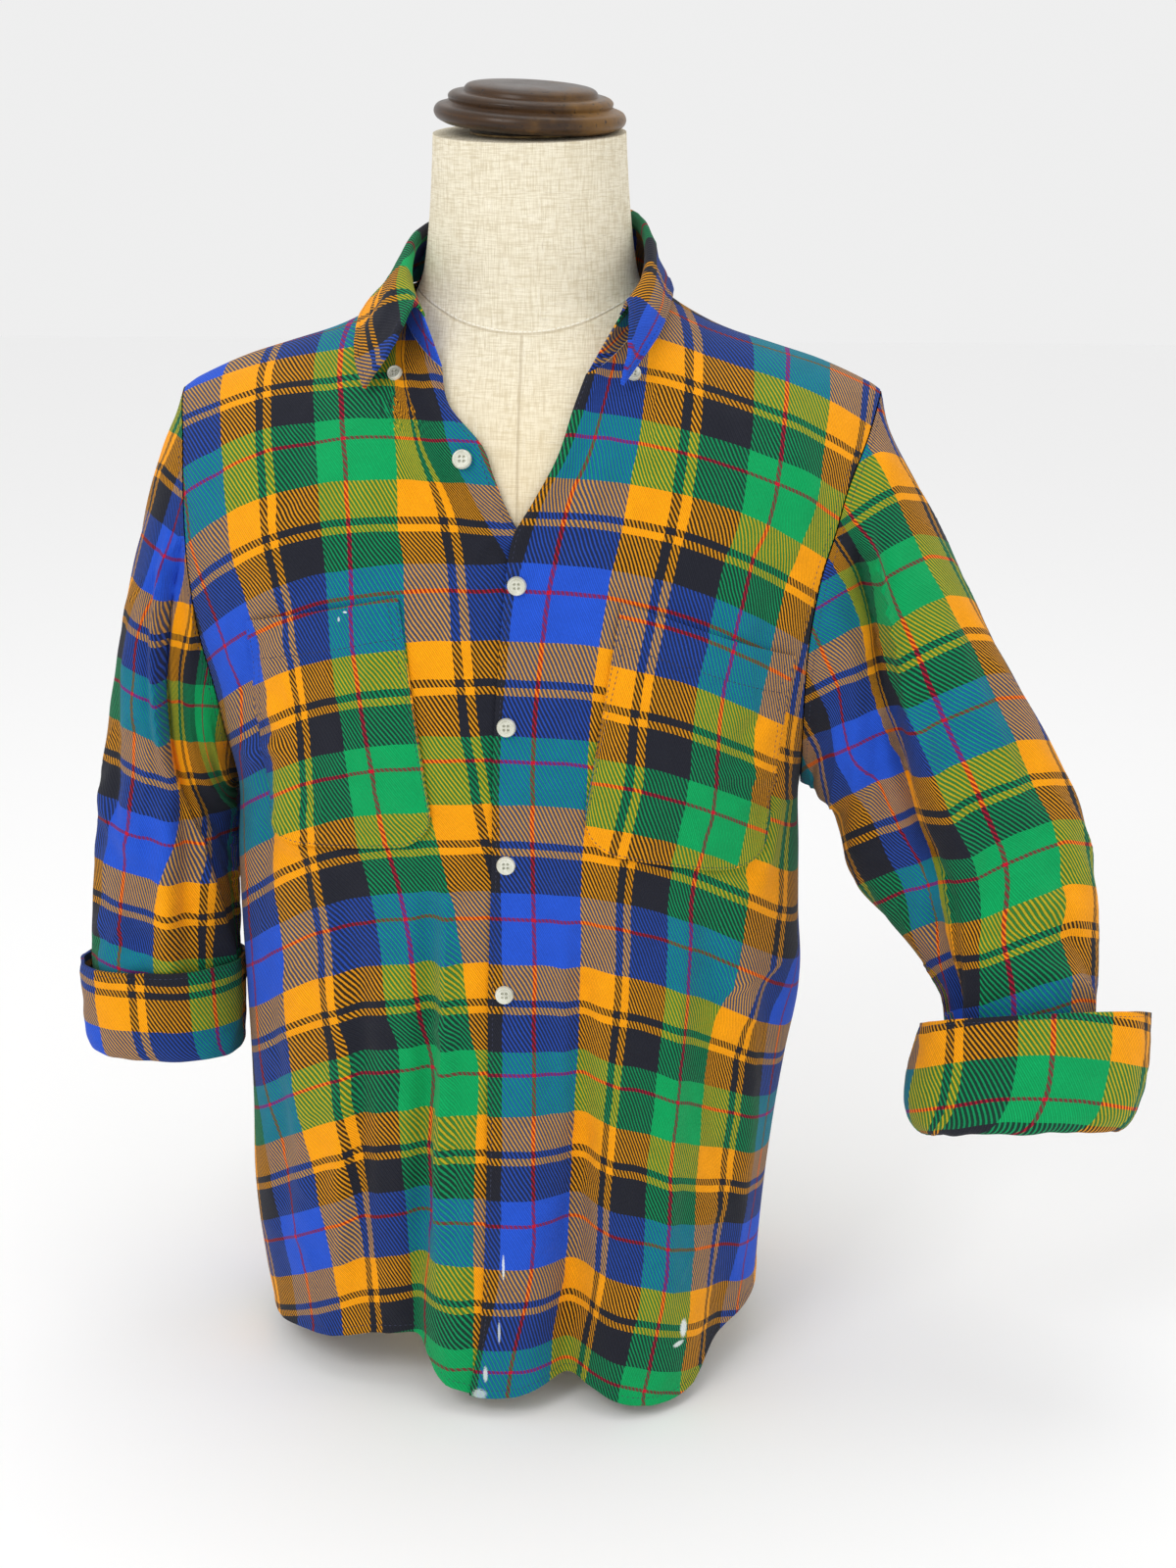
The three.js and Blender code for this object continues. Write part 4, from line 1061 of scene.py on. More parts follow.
def pearl():
    """Pearly button with a swirling tone; its four holes are in the button's shape."""
    s = Shader("button_pearl")
    place = s.place()
    swirl = s.noise(place, 160.0, 3.0, 0.6)
    colour = s.ramp(swirl, [(0.3, (0.5, 0.5, 0.4)), (0.7, (0.78, 0.78, 0.68))])
    bumped = s.bump(swirl, 0.15, 0.0003)
    s.surface.inputs["Coat Weight"].default_value = 0.3
    return s.finish(Base_Color=colour, Roughness=0.32, Normal=bumped)


def thread(name, first, second):
    s = Shader(name)
    fibres = s.noise(s.place(), 1800.0, 2.0)
    colour = s.mix(fibres, (*first, 1), (*second, 1))
    bumped = s.bump(fibres, 0.4, 0.0002)
    return s.finish(Base_Color=colour, Roughness=0.85, Normal=bumped)


CLOTH_FACE = flannel("flannel_face")
CLOTH_WRONG = flannel("flannel_wrong_side", wrong_side=True)
LINEN = linen()
VARNISH = old_varnish()
BRASS = aged_brass()
PEARL = pearl()
NAVY_THREAD = thread("thread_navy", (0.015, 0.018, 0.05), (0.06, 0.065, 0.12))


# Shirt body


def panel_rows(low, high, top=2.0):
    return np.concatenate([np.linspace(0, 1, low), np.linspace(1, top, high)[1:]])


def hem_band(above):
    """A hem turned up twice: a little thicker for 7 mm, with a sewn furrow at its top."""
    band = 0.5 * smooth_step((8 - above) / 1.5)
    return band - 0.5 * np.exp(-(((above - 5.5) / 1.2) ** 2))


def front(side):
    name = "right" if side < 0 else "left"
    up = panel_rows(FRONT_LOW_ROWS, FRONT_HIGH_ROWS)
    across, up = np.meshgrid(np.linspace(0, 1, FRONT_COLUMNS), up)
    x, z = panel_place("front", side, across, up)
    smooth = surface("front", side, x, z)
    normals = outward_normals(smooth, (0, -1, 0))
    seam = np.abs(smooth[..., 1]) < 1
    normals[seam] = unit(normals[seam] * (1, 0, 1))
    relief = front_relief(side, x, z) + hem_band(z - read(FRONT_HEM, "x", "z", x))
    edge = np.abs(x - front_edge_x(side, z))
    relief = relief - 0.7 * np.exp(-((edge / 1.3) ** 2))
    open_part = smooth_step((z - 548) / 20) * smooth_step((664 - z) / 12)
    relief += open_part * (2.6 * np.exp(-(((edge - 5) / 4) ** 2)) - 1.2 * np.exp(-(((edge - 14) / 4) ** 2)))
    outer = smooth + normals * relief[..., None]
    warp = front_warp(side, x, z, smooth)
    weft = body_weft(x, z, smooth, FRONT_LOW_ROWS - 1)
    weave = np.stack([warp, weft], axis=-1)
    keep_grid(f"front_{name}", outer, normals)
    piece = shell(f"cloth_front_{name}", outer, outer - normals * CLOTH, weave, CLOTH_FACE)
    declare_sheet(smooth)
    return ride_as(piece, [f"front_{name}"])


def whole_back(up_rows):
    """Both halves of the back in one grid, from the wearer's right side to the left."""
    across, up = np.meshgrid(np.linspace(0, 1, BACK_COLUMNS // 2 + 1), up_rows)
    right_x, right_z = panel_place("back", -1, across, up)
    left_x, left_z = panel_place("back", 1, across, up)
    x = np.concatenate([right_x[:, ::-1], left_x[:, 1:]], axis=1)
    z = np.concatenate([right_z[:, ::-1], left_z[:, 1:]], axis=1)
    smooth = surface("back", 1, x, z)
    normals = outward_normals(smooth, (0, 1, 0))
    seam = np.abs(smooth[..., 1]) < 1
    normals[seam] = unit(normals[seam] * (1, 0, 1))
    return x, z, smooth, normals


def back_weave(x, z, smooth, rows_to_chest, shift):
    """Mirrored warp and weft: the back is seen from behind, so its stripes run on unchanged."""
    middle = smooth.shape[1] // 2
    length = arc_length(smooth, 1)
    warp = length - length[:, middle : middle + 1] + shift[0]
    return np.stack([warp, body_weft(x, z, smooth, rows_to_chest) + shift[1]], axis=-1)


YOKE_SEAM_UP = 1 + math.asin((YOKE_SEAM_Z - CHEST_Z) / (NECKLINE["back"][0] - CHEST_Z)) * 2 / math.pi
HALF_SEAM_UP = SEAM_GAP / 2 / CLOTH_ABOVE_CHEST


def back_panel():
    up = panel_rows(BACK_LOW_ROWS, 14, YOKE_SEAM_UP - HALF_SEAM_UP)
    x, z, smooth, normals = whole_back(up)
    relief = back_relief(x, z) + hem_band(z - read(BACK_HEM, "x", "z", x))
    outer = smooth + normals * relief[..., None]
    weave = back_weave(x, z, smooth, BACK_LOW_ROWS - 1, (30, 0))
    keep_grid("back", outer, normals)
    piece = shell("cloth_back", outer, outer - normals * CLOTH, weave, CLOTH_FACE)
    declare_sheet(smooth)
    return ride_as(piece, ["back"])


def yoke():
    up = np.linspace(YOKE_SEAM_UP + HALF_SEAM_UP, 2, YOKE_ROWS)
    x, z, smooth, normals = whole_back(up)
    relief = 0.4 * back_relief(x, z)
    relief += 0.35 * np.exp(-(((z - YOKE_SEAM_Z - 4) / 3) ** 2))
    outer = smooth + normals * relief[..., None]
    weave = back_weave(x, z, smooth, 0, (-62, 48))
    keep_grid("yoke", outer, normals)
    piece = shell("cloth_yoke", outer, outer - normals * CLOTH, weave, CLOTH_FACE)
    declare_sheet(smooth)
    return ride_as(piece, ["yoke"])


# Sleeves and cuffs


def sleeve_loops(side, sections, angles, grow):
    """Rounded loops between the outer and inner points of each section."""
    columns = {name: values[:, None] for name, values in sections.items()}
    ones = np.ones_like(columns["out_x"])
    outer = np.stack([side * columns["out_x"], -columns["forward"], columns["out_z"]], axis=-1)
    inner = np.stack([side * columns["in_x"], -columns["forward"], columns["in_z"]], axis=-1)
    half = (outer - inner) / 2
    half = half * (1 + grow / np.linalg.norm(half, axis=-1, keepdims=True))
    cosine, sine = np.cos(angles)[None], np.sin(angles)[None]
    power = SLEEVE_SQUARENESS
    radius = (np.abs(cosine) ** power + np.abs(sine) ** power) ** (-1 / power)
    points = (outer + inner) / 2 + half * (cosine * radius)[..., None]
    points[..., 1] -= sine * radius * (columns["reach"] + grow)
    points[..., 2] += sine * radius * columns["lean"] * ones
    return points


def armhole_loop(side, angles):
    middle = (SHOULDER_TIP_Z + ARMPIT_Z) / 2
    half = (SHOULDER_TIP_Z - ARMPIT_Z) / 2
    z = middle + half * np.cos(angles)
    x = seam_x(side, z)
    front_points = surface("front", side, x, z)
    back_points = surface("back", side, x, z)
    points = np.where((np.sin(angles) >= 0)[:, None], front_points, back_points)
    points[np.abs(np.sin(angles)) < 1e-6, 1] = 0
    points[:, 0] += side * ARMHOLE_GAP
    return points


def tube_rows(loops, count):
    """Loops placed evenly along a tube, smooth between the given ones."""
    steps = np.linalg.norm(np.diff(loops, axis=0), axis=-1).mean(axis=1)
    keys = np.concatenate([[0], np.cumsum(steps)])
    return smooth_between(keys, loops, np.linspace(0, keys[-1], count))


def tube_normals(grid):
    middle = grid.mean(axis=1, keepdims=True)
    return outward_normals(grid, grid - middle, closed=True)


def round_and_climb(grid):
    """How far round from the outer line, and how far up from the foot, each point lies."""
    around = np.concatenate([grid, grid[:, :1]], axis=1)
    length = arc_length(around, 1)
    whole = length[:, -1:]
    signed = np.where(length > whole / 2, length - whole, length)
    climb = arc_length(around[::-1], 0)[::-1]
    return signed, climb


# Where the photo shows warp lines on the sleeves: the way round from the outer line, by
# height above the foot. Lines are named by their place in the repeat.
SLEEVE_LINES = {
    "right": table(
        "climb 19.5 54.3 81 91.9 120.1",
        (0, 52, 74, 104, 114, 140),
        (70, 54, 76.5, 107, 117, 143),
        (117, 58, 84, 112.7, 122.8, 149),
        (162, 62.3, 102, 128, 139, 166),
        (203, 66, 112, 138, 149, 176),
        (252, 67, 112, 138, 149, 176),
        (290, 75, 119, 146, 157, 184),
        (312, 88.9, 121, 148, 159, 186),
    ),
    "left": table(
        "climb 170.5 138.3 120.1 91.9 54.3 19.5",
        (0, 46, 82, 104, 122, 128, 160),
        (63, 46, 82, 104, 122, 128, 150),
        (116, 48, 88, 102, 121.5, 127, 138),
        (144, 47, 85, 102.6, 124, 128, 134),
        (185, 45, 83.5, 103, 121, 126, 137),
        (219, 42.5, 83, 104, 119.5, 125, 148),
        (248, 43, 85, 107, 122, 132, 172),
        (290, 43.6, 87, 118, 126, 136, 178),
        (360, 46.5, 91, 100, 108, 122, 160),
    ),
}
# Weft height at the foot, its growth up the sleeve, and its drop from the outer line on
SLEEVE_WEFT = {"right": (171, 1.07, 0.2), "left": (66, 1.0, 0.3)}


def sleeve_weave(name, grid):
    signed, climb = round_and_climb(grid)
    lines = SLEEVE_LINES[name]
    marks = [column for column in lines if column != "climb"]
    places = [read(lines, "climb", mark, climb) for mark in marks]
    warp = between_lines(signed, places, [float(mark) for mark in marks])
    foot, growth, drop = SLEEVE_WEFT[name]
    weft = foot + growth * climb + drop * np.clip(np.abs(signed) - 40, 0, 60)
    return np.stack([warp, weft], axis=-1)


SLEEVE_CREASES = {
    "right": table(
        CREASE_COLUMNS,
        (96, 6, 116, 120, -6, 7, -7),
        (82, 10, 98, 130, -6, 6, 4),
        (116, 90, 100, 270, 5, 8, -6),
        (98, 110, 84, 290, 5, 7, 3.5),
        (20, 70, 28, 240, 5, 9, 3),
        (44, 60, 52, 200, 6, 8, -2.6),
        (64, 250, 30, 330, 6, 6, 3),
        (-60, 40, -48, 240, 8, 9, 3.5),
        (-90, 60, -84, 300, -6, 9, -4),
        (-20, 120, -30, 330, 5, 10, -2.4),
        (10, 150, 80, 175, 6, 7, 2.4),
        (20, 240, 90, 222, 6, 7, -2.4),
    ),
    "left": table(
        CREASE_COLUMNS,
        (96, 4, 126, 70, -4, 8, -8),
        (82, 8, 108, 74, -4, 6, 4),
        (126, 50, 126, 210, 3, 9, -9),
        (106, 60, 108, 250, 3, 7, 4.5),
        (132, 190, 128, 340, -4, 8, -7),
        (40, 60, 36, 200, -6, 10, -2.6),
        (60, 60, 62, 200, 6, 8, 2.4),
        (100, 226, 20, 250, 9, 8, 4),
        (104, 250, 16, 276, 9, 8, -4),
        (96, 276, 10, 306, 8, 7, 3),
        (100, 180, 40, 196, 7, 7, -3),
        (-60, 40, -48, 240, 8, 9, 3.5),
        (-90, 60, -84, 300, -6, 9, -4),
        (10, 120, 8, 330, 5, 10, 2),
    ),
}


# Where a sleeve turns in sharply towards the body, by height above its foot
TUCKS = {
    "right": table("climb line depth", (0, 150, 0), (100, 128, 3), (220, 108, 6), (300, 100, 6), (350, 92, 4)),
    "left": table("climb line depth", (0, 120, 2), (110, 112, 6), (230, 120, 9), (300, 108, 9), (360, 92, 7)),
}
TUCK_EDGE = 5.0
TUCK_WIDTH = 60.0


def tuck_relief(name, signed, climb):
    rows = TUCKS[name]
    past = signed - read(rows, "climb", "line", climb)
    turned_in = smooth_step(past / TUCK_EDGE) * smooth_step((TUCK_WIDTH - past) / 30)
    return 1.5 * np.exp(-(((past + 3) / 4) ** 2)) - read(rows, "climb", "depth", climb) * turned_in


def sleeve_relief(name, grid):
    """Folds of a sleeve, by the way round from its outer line and the way down it."""
    around = arc_length(np.concatenate([grid, grid[:, :1]], axis=1), 1)
    whole, around = around[:, -1:], around[:, :-1]
    signed = np.where(around > whole / 2, around - whole, around)
    down = arc_length(grid, 0).mean(axis=1, keepdims=True) * np.ones_like(signed)
    relief = crease_relief(SLEEVE_CREASES[name], signed, down)
    calm = 2 * math.pi * around / whole
    seed = 31 if name == "right" else 32
    relief += 1.3 * crumple(80 * np.cos(calm), 80 * np.sin(calm) + down, seed)
    relief += tuck_relief(name, signed, down[-1:] - down)
    return relief * smooth_step(down / 22) * smooth_step((down[-1:] - down) / 12)


def sleeve(side):
    name = "right" if side < 0 else "left"
    angles = np.linspace(0, 2 * math.pi, SLEEVE_COLUMNS_ROUND, endpoint=False)
    loops = sleeve_loops(side, SLEEVES[name], angles, 0)
    loops = np.concatenate([armhole_loop(side, angles)[None], loops])
    smooth = tube_rows(loops, SLEEVE_ROWS)
    normals = tube_normals(smooth)
    normals[0] = unit(normals[0] * (0, 1, 1))
    relief = sleeve_relief(name, smooth)
    outer = smooth + normals * relief[..., None]
    weave = sleeve_weave(name, smooth)
    keep_grid(f"sleeve_{name}", outer, normals)
    piece = shell(f"cloth_sleeve_{name}", outer, outer - normals * CLOTH, weave, CLOTH_FACE, closed=True)
    declare_sheet(smooth, closed=True)
    return ride_as(piece, [f"sleeve_{name}"])


# Warp place at the outer line, its growth round the cuff, and weft place at the inner ring
CUFF_WEAVE = {"right": (8, 1.02, 534.9), "left": (225.8, -0.85, 471.7)}


def cuff(side):
    name = "right" if side < 0 else "left"
    angles = np.linspace(0, 2 * math.pi, SLEEVE_COLUMNS_ROUND, endpoint=False)
    loops = sleeve_loops(side, CUFFS[name], angles, TURNED_WALL + LAY_GAP)
    smooth = tube_rows(loops, CUFF_ROWS)
    normals = tube_normals(smooth)
    around = arc_length(smooth, 1)
    down = arc_length(smooth, 0)
    height = down[-1:] - down
    relief = 0.5 * waves(around, down, 41, 18) + 0.3 * waves(around, down, 42, 8)
    relief *= smooth_step(down / 14)
    relief += 0.5 * np.exp(-(((height - 7) / 4) ** 2))
    outer = smooth + normals * relief[..., None]
    signed, climb = round_and_climb(smooth)
    warp, growth, weft = CUFF_WEAVE[name]
    weave = np.stack([warp + growth * signed, weft - (climb[:1] - climb)], axis=-1)
    wall = CUFF_WALL
    keep_grid(f"cuff_{name}", outer, normals)
    piece = shell(f"cloth_cuff_{name}", outer, outer - normals * wall, weave, CLOTH_WRONG, closed=True)
    declare_sheet(smooth, closed=True)
    return ride_as(piece, [f"cuff_{name}"])


# Collar


def neckline_point(side, along):
    front_end = abs(float(front_edge_x(side, np.array(FRONT_END_Z))))
    back_x = side * NECK_POINT_X * np.sin(along * math.pi)
    front_x = side * (front_end + (NECK_POINT_X - front_end) * np.cos((along - 0.5) * math.pi))
    back_points = surface("back", side, back_x, top_edge_z("back", back_x * 0.999))
    front_points = surface("front", side, front_x, top_edge_z("front", front_x * 0.999))
    return np.where((along < 0.5)[:, None], back_points, front_points)


def collar_side(side, along):
    rows = COLLARS["right" if side < 0 else "left"]
    base = neckline_point(side, along)
    rise = COLLAR_BACK_GAP - COLLAR_GAP
    base[:, 2] += COLLAR_GAP + rise * smooth_step((0.8 - along) / 0.2)
    parts = [base]
    for part in ("fold", "roll", "edge"):
        values = [read(rows, "along", f"{part}_{axis}", along) for axis in "xyz"]
        parts.append(np.stack([side * values[0], values[1], values[2]], axis=-1))
    return parts


def collar_sections():
    """Base, fold, roll and edge of the collar, from the right front end round to the left."""
    along = np.linspace(0, 1, COLLAR_COLUMNS_HALF)
    right = collar_side(-1, along)
    left = collar_side(1, along)
    return [np.concatenate([r[::-1], l[1:]]) for r, l in zip(right, left)]


def curve_through(points, shares):
    """Centripetal curve through a few points of every collar section."""
    first, last = 2 * points[0] - points[1], 2 * points[-1] - points[-2]
    knots = [first, *points, last]
    found = []
    for share in shares:
        spot = share * (len(points) - 1)
        index = min(int(spot), len(points) - 2)
        t = spot - index
        p0, p1, p2, p3 = knots[index : index + 4]
        d0, d1, d2 = [
            np.maximum(np.linalg.norm(b - a, axis=-1, keepdims=True), 1e-6) ** 0.5
            for a, b in ((p0, p1), (p1, p2), (p2, p3))
        ]
        leave = ((p1 - p0) / d0 - (p2 - p0) / (d0 + d1) + (p2 - p1) / d1) * d1
        reach = ((p2 - p1) / d1 - (p3 - p1) / (d1 + d2) + (p3 - p2) / d2) * d1
        curve = p1 + leave * t + (3 * (p2 - p1) - 2 * leave - reach) * t * t
        found.append(curve + (2 * (p1 - p2) + leave + reach) * t**3)
    return np.stack(found)


# Collar leaf by side: warp place at the fold's front end and its growth from there to the
# back, then weft place at the free edge and its growth towards the fold
LEAF_WEAVE = {"right": (207.0, -1, 495.9, -1), "left": (54.0, 1, 522.5, 1)}
STAND_WEAVE = (10, 520)


def collar_stand():
    base, fold, _, _ = collar_sections()
    levels = np.linspace(-0.018, STAND_SHARE, STAND_ROWS)[:, None, None]
    smooth = base + (fold - base) * levels
    middle = smooth.mean(axis=(0, 1))
    normals = outward_normals(smooth, smooth - middle)
    length = arc_length(smooth, 1)
    weave = np.stack([length + STAND_WEAVE[0], arc_length(smooth, 0) + STAND_WEAVE[1]], axis=-1)
    keep_grid("stand", smooth, normals)
    piece = shell("cloth_collar_stand", smooth, smooth - normals * CLOTH, weave, CLOTH_FACE)
    declare_sheet(smooth)
    return ride_as(piece, ["collar_stand"])


def collar_leaf():
    base, fold, roll, edge = collar_sections()
    stand_top = base + (fold - base) * STAND_SHARE
    start = stand_top + (fold - stand_top) * 0.12
    start[:, 2] += SEAM_GAP
    lifted = (stand_top + fold) / 2
    lifted[:, 2] += SEAM_GAP
    crown = fold + (roll - fold) * 0.2
    crown[:, 2] = fold[:, 2] + 2
    shares = np.concatenate([np.linspace(0, 0.2, 6), np.linspace(0.2, 1, LEAF_ROWS)[1:]])
    inner = curve_through([start, lifted, crown, roll, edge], shares)
    middle = inner[-1].mean(axis=0)
    normals = outward_normals(inner[6:], (inner - middle)[6:])
    normals = np.concatenate([grid_normals(inner)[:6], normals])
    if (normals[5] * normals[6]).sum() < 0:
        normals[:6] *= -1
    length = arc_length(inner, 1)
    drop = arc_length(inner, 0)
    from_edge = drop[-1:] - drop
    ends = np.minimum(length, length[:, -1:] - length)
    relief = 0.45 * waves(length, drop, 51, 16) + 0.25 * waves(length, drop, 52, 7)
    relief *= smooth_step(drop / 24) * (0.4 + 0.6 * smooth_step(from_edge / 10))
    nearest = np.minimum(ends, from_edge)
    relief += 0.45 * np.exp(-(((nearest - 3) / 2.4) ** 2)) - 0.5 * np.exp(-(((nearest - 6.5) / 1.2) ** 2))
    relief = relief * smooth_step(drop / 10)
    outer = inner + normals * (1.8 + relief)[..., None]
    centre = length[:, COLLAR_COLUMNS_HALF - 1 : COLLAR_COLUMNS_HALF]
    along = length - centre
    parts = []
    for name, columns, end in (
        ("right", slice(0, COLLAR_COLUMNS_HALF), 0),
        ("left", slice(COLLAR_COLUMNS_HALF, None), -1),
    ):
        warp, warp_growth, weft, weft_growth = LEAF_WEAVE[name]
        behind = abs(along[6, end]) - np.abs(along[:, columns])
        weft_there = weft + weft_growth * from_edge[:, columns]
        parts.append(np.stack([warp + warp_growth * behind, weft_there], axis=-1))
    weave = np.concatenate(parts, axis=1)
    thick = CLOTH + 1.4 * smooth_step(drop / 12)
    keep_grid("leaf", outer, normals)
    piece = shell("cloth_collar_leaf", outer, outer - normals * thick[..., None], weave, CLOTH_FACE)
    declare_sheet(inner)
    return ride_as(piece, ["collar_leaf"])


# Pockets


def pocket_place(corners, share, up):
    """Distance from the middle plane and height of a pocket's point, with rounded bottom
    corners."""
    def between(first, second, amount):
        return [a + (b - a) * amount for a, b in zip(first, second)]

    top = between(corners["in_top"], corners["out_top"], share)
    bottom = between(corners["in_bottom"], corners["out_bottom"], share)
    width = math.dist(corners["in_top"], corners["out_top"])
    from_side = np.minimum(share, 1 - share) * width
    short = np.maximum(POCKET_CORNER - from_side, 0) / POCKET_CORNER
    lift = POCKET_CORNER * (1 - np.sqrt(1 - short * short)) * 0.9
    height = np.hypot(top[0] - bottom[0], top[1] - bottom[1])
    bottom = between(bottom, top, lift / height)
    return between(bottom, top, up)


POCKET_BAND = 24.0
POCKET_SHIFT = {"right": (0, 4), "left": (0, 9)}


def pocket_points(side, share, up, lift=0.0):
    """Points on a pocket's face, with its small folds."""
    name = "right" if side < 0 else "left"
    away, z = pocket_place(POCKETS[name], share, up)
    x = side * away
    normals = front_normal(side, x, z)
    rim = np.minimum(np.minimum(share, 1 - share), up) * 100
    relief = front_relief(side, x, z)
    relief = relief + 0.5 * waves(x, z, 61 + side, 16) * smooth_step(rim / 12)
    relief = relief + 0.6 * smooth_step(rim / 20) - 0.5 * np.exp(-(((rim - 5) / 1.6) ** 2))
    from_top = (1 - up) * 130
    relief = relief + 0.35 * smooth_step((POCKET_BAND - from_top) / 2)
    relief = relief - 0.4 * np.exp(-(((from_top - POCKET_BAND) / 1.3) ** 2))
    distance = POCKET_GAP + CLOTH + 0.3 + relief + lift
    return surface("front", side, x, z) + normals * distance[..., None], normals, x, z


def pocket(side):
    name = "right" if side < 0 else "left"
    share, up = np.meshgrid(np.linspace(0, 1, POCKET_COLUMNS), np.linspace(0, 1, POCKET_ROWS))
    outer, normals, x, z = pocket_points(side, share, up)
    shift = POCKET_SHIFT[name]
    weave = np.stack([front_warp(side, x, z, outer) + shift[0], hung_weft(x, z) + shift[1]], axis=-1)
    keep_grid(f"pocket_{name}", outer, normals)
    piece = shell(f"cloth_pocket_{name}", outer, outer - normals * CLOTH, weave, CLOTH_FACE)
    declare_sheet(outer)
    return ride_as(piece, [f"pocket_{name}"])


# Buttons


def button_height(radius, r, a):
    """Height of a button's face: a raised rim, a shallow dish and four holes."""
    share = r / radius
    rim = BUTTON_HEIGHT * (0.66 + 0.34 * np.exp(-(((share - 0.82) / 0.13) ** 2)))
    height = rim * np.sqrt(np.clip(1 - np.clip((share - 0.86) / 0.14, 0, 1) ** 2, 0, 1))
    x, y = r * np.cos(a), r * np.sin(a)
    hole = np.hypot(np.abs(x) - 0.21 * radius, np.abs(y) - 0.21 * radius)
    return np.maximum(height - 1.5 * smooth_step((0.155 * radius - hole) / 0.25), 0)


def shirt_button(name, side, x, z, radius, lift):
    rings = np.concatenate([np.linspace(0.02, 0.6, 26), np.linspace(0.6, 1, 12)[1:]]) * radius
    r, a = np.meshgrid(rings, np.linspace(0, 2 * math.pi, 64, endpoint=False), indexing="ij")
    height = button_height(radius, r, a)
    flat = np.stack([r * np.cos(a), r * np.sin(a)], axis=-1)
    top = np.concatenate([flat, height[..., None]], axis=-1)
    under = top * (1, 1, 0)
    normal = front_normal(side, x, z)
    turn = np.array(Vector((0, 0, 1)).rotation_difference(Vector(normal)).to_matrix())
    relief = float(front_relief(side, np.array([x], float), np.array([z], float))[0])
    place = surface("front", side, np.array(x, float), np.array(z, float)) + normal * (lift + relief)
    top, under = top @ turn.T + place, under @ turn.T + place
    weave = np.zeros((len(rings), r.shape[1] + 1, 2))
    piece = shell(f"shirt_{name}", top, under, weave, PEARL, closed=True)
    return ride_as(piece, [name])


# Dress form


def super_point(width, depth, angles, z):
    power = 2 / SQUARENESS
    cosine, sine = np.cos(angles), np.sin(angles)
    x = width * np.sign(cosine) * np.abs(cosine) ** power
    y = depth * np.sign(sine) * np.abs(sine) ** power
    return np.stack([x, y, np.full_like(x, z)], axis=-1)


def form_dome(face, x):
    return read(RIDGE, "x", face, x) - read(FORM_UNDER_CLOTH, "x", "depth", x)


def shoulder_ring(angles, z):
    back = np.sin(angles) > 0
    reaches = np.arange(1, FORM_CHEST_WIDTH, 0.25)
    x = np.empty_like(angles)
    y = np.empty_like(angles)
    for face, here, outward in (("front", ~back, -1), ("back", back, 1)):
        reach = reaches[form_dome(face, reaches) >= z].max(initial=1)
        cosine = np.cos(angles[here])
        x[here] = reach * np.sign(cosine) * np.abs(cosine) ** (2 / SQUARENESS)
        across = np.abs(x[here]) / FORM_CHEST_WIDTH
        round_off = (1 - np.minimum(across, 1) ** SQUARENESS) ** (1 / SQUARENESS)
        up = np.clip((z - CHEST_Z) / (form_dome(face, np.abs(x[here])) - CHEST_Z), 0, 1)
        y[here] = outward * FORM_CHEST_DEPTH * round_off * np.sqrt(1 - up * up)
    return np.stack([x, y, np.full_like(x, z)], axis=-1)


def form_ring(angles, z):
    back = np.sin(angles) > 0
    if z <= FORM["z"][-1]:
        depth = np.where(back, read(FORM, "z", "back", z), read(FORM, "z", "front", z))
        return super_point(read(FORM, "z", "width", z), depth, angles, z)
    if z < NECK["z"][0]:
        return shoulder_ring(angles, z)
    width = read(NECK, "z", "width", z)
    depth = np.where(back, read(NECK, "z", "back", z), read(NECK, "z", "front", z))
    return np.stack([width * np.cos(angles), depth * np.sin(angles), np.full_like(angles, z)], axis=-1)


# The front of the shoulders runs into the neck without a ledge
NECK_EASING = 60


def dress_form():
    angles = np.linspace(0, 2 * math.pi, 128, endpoint=False)
    levels = np.concatenate([
        np.arange(0, 491, 14),
        np.linspace(534, 684, 42),
        np.linspace(694, 775, 28),
    ])
    rings = [form_ring(angles, z) for z in levels]
    rim = np.stack([RIM_RADIUS * np.cos(angles), RIM_RADIUS * np.sin(angles), np.zeros_like(angles)], axis=-1)
    rim[:, 2] = RIM_Z + RIM_SLOPE * rim[:, 1]
    grid = np.stack([*rings, rim])
    joint = (levels > 640) & (levels < 725)
    depth = grid[..., 1].copy()
    for _ in range(NECK_EASING):
        eased = (depth[:-2] + 2 * depth[1:-1] + depth[2:]) / 4
        depth[1:-1] = np.where(joint[1:, None], eased, depth[1:-1])
    share = smooth_step((62 - np.abs(grid[..., 0])) / 24) * (grid[..., 1] < 0)
    grid[..., 1] += (depth - grid[..., 1]) * share
    points = np.concatenate([grid.reshape(-1, 3), [[0, 0, 0], [0, 0, RIM_Z]]]) * MM
    count, last = len(angles), len(grid) - 1
    row, column = np.indices((last, count)).reshape(2, -1)
    after = (column + 1) % count
    quads = np.stack([row * count + column, row * count + after, (row + 1) * count + after, (row + 1) * count + column], 1)
    ends = []
    for ring, middle in ((0, count * (last + 1)), (last, count * (last + 1) + 1)):
        ends += [[ring * count + i, ring * count + (i + 1) % count, middle] for i in range(count)]
    piece = finish_mesh("form_linen", points, quads.tolist() + ends, LINEN)
    return ride_as(piece, ["form_torso"])


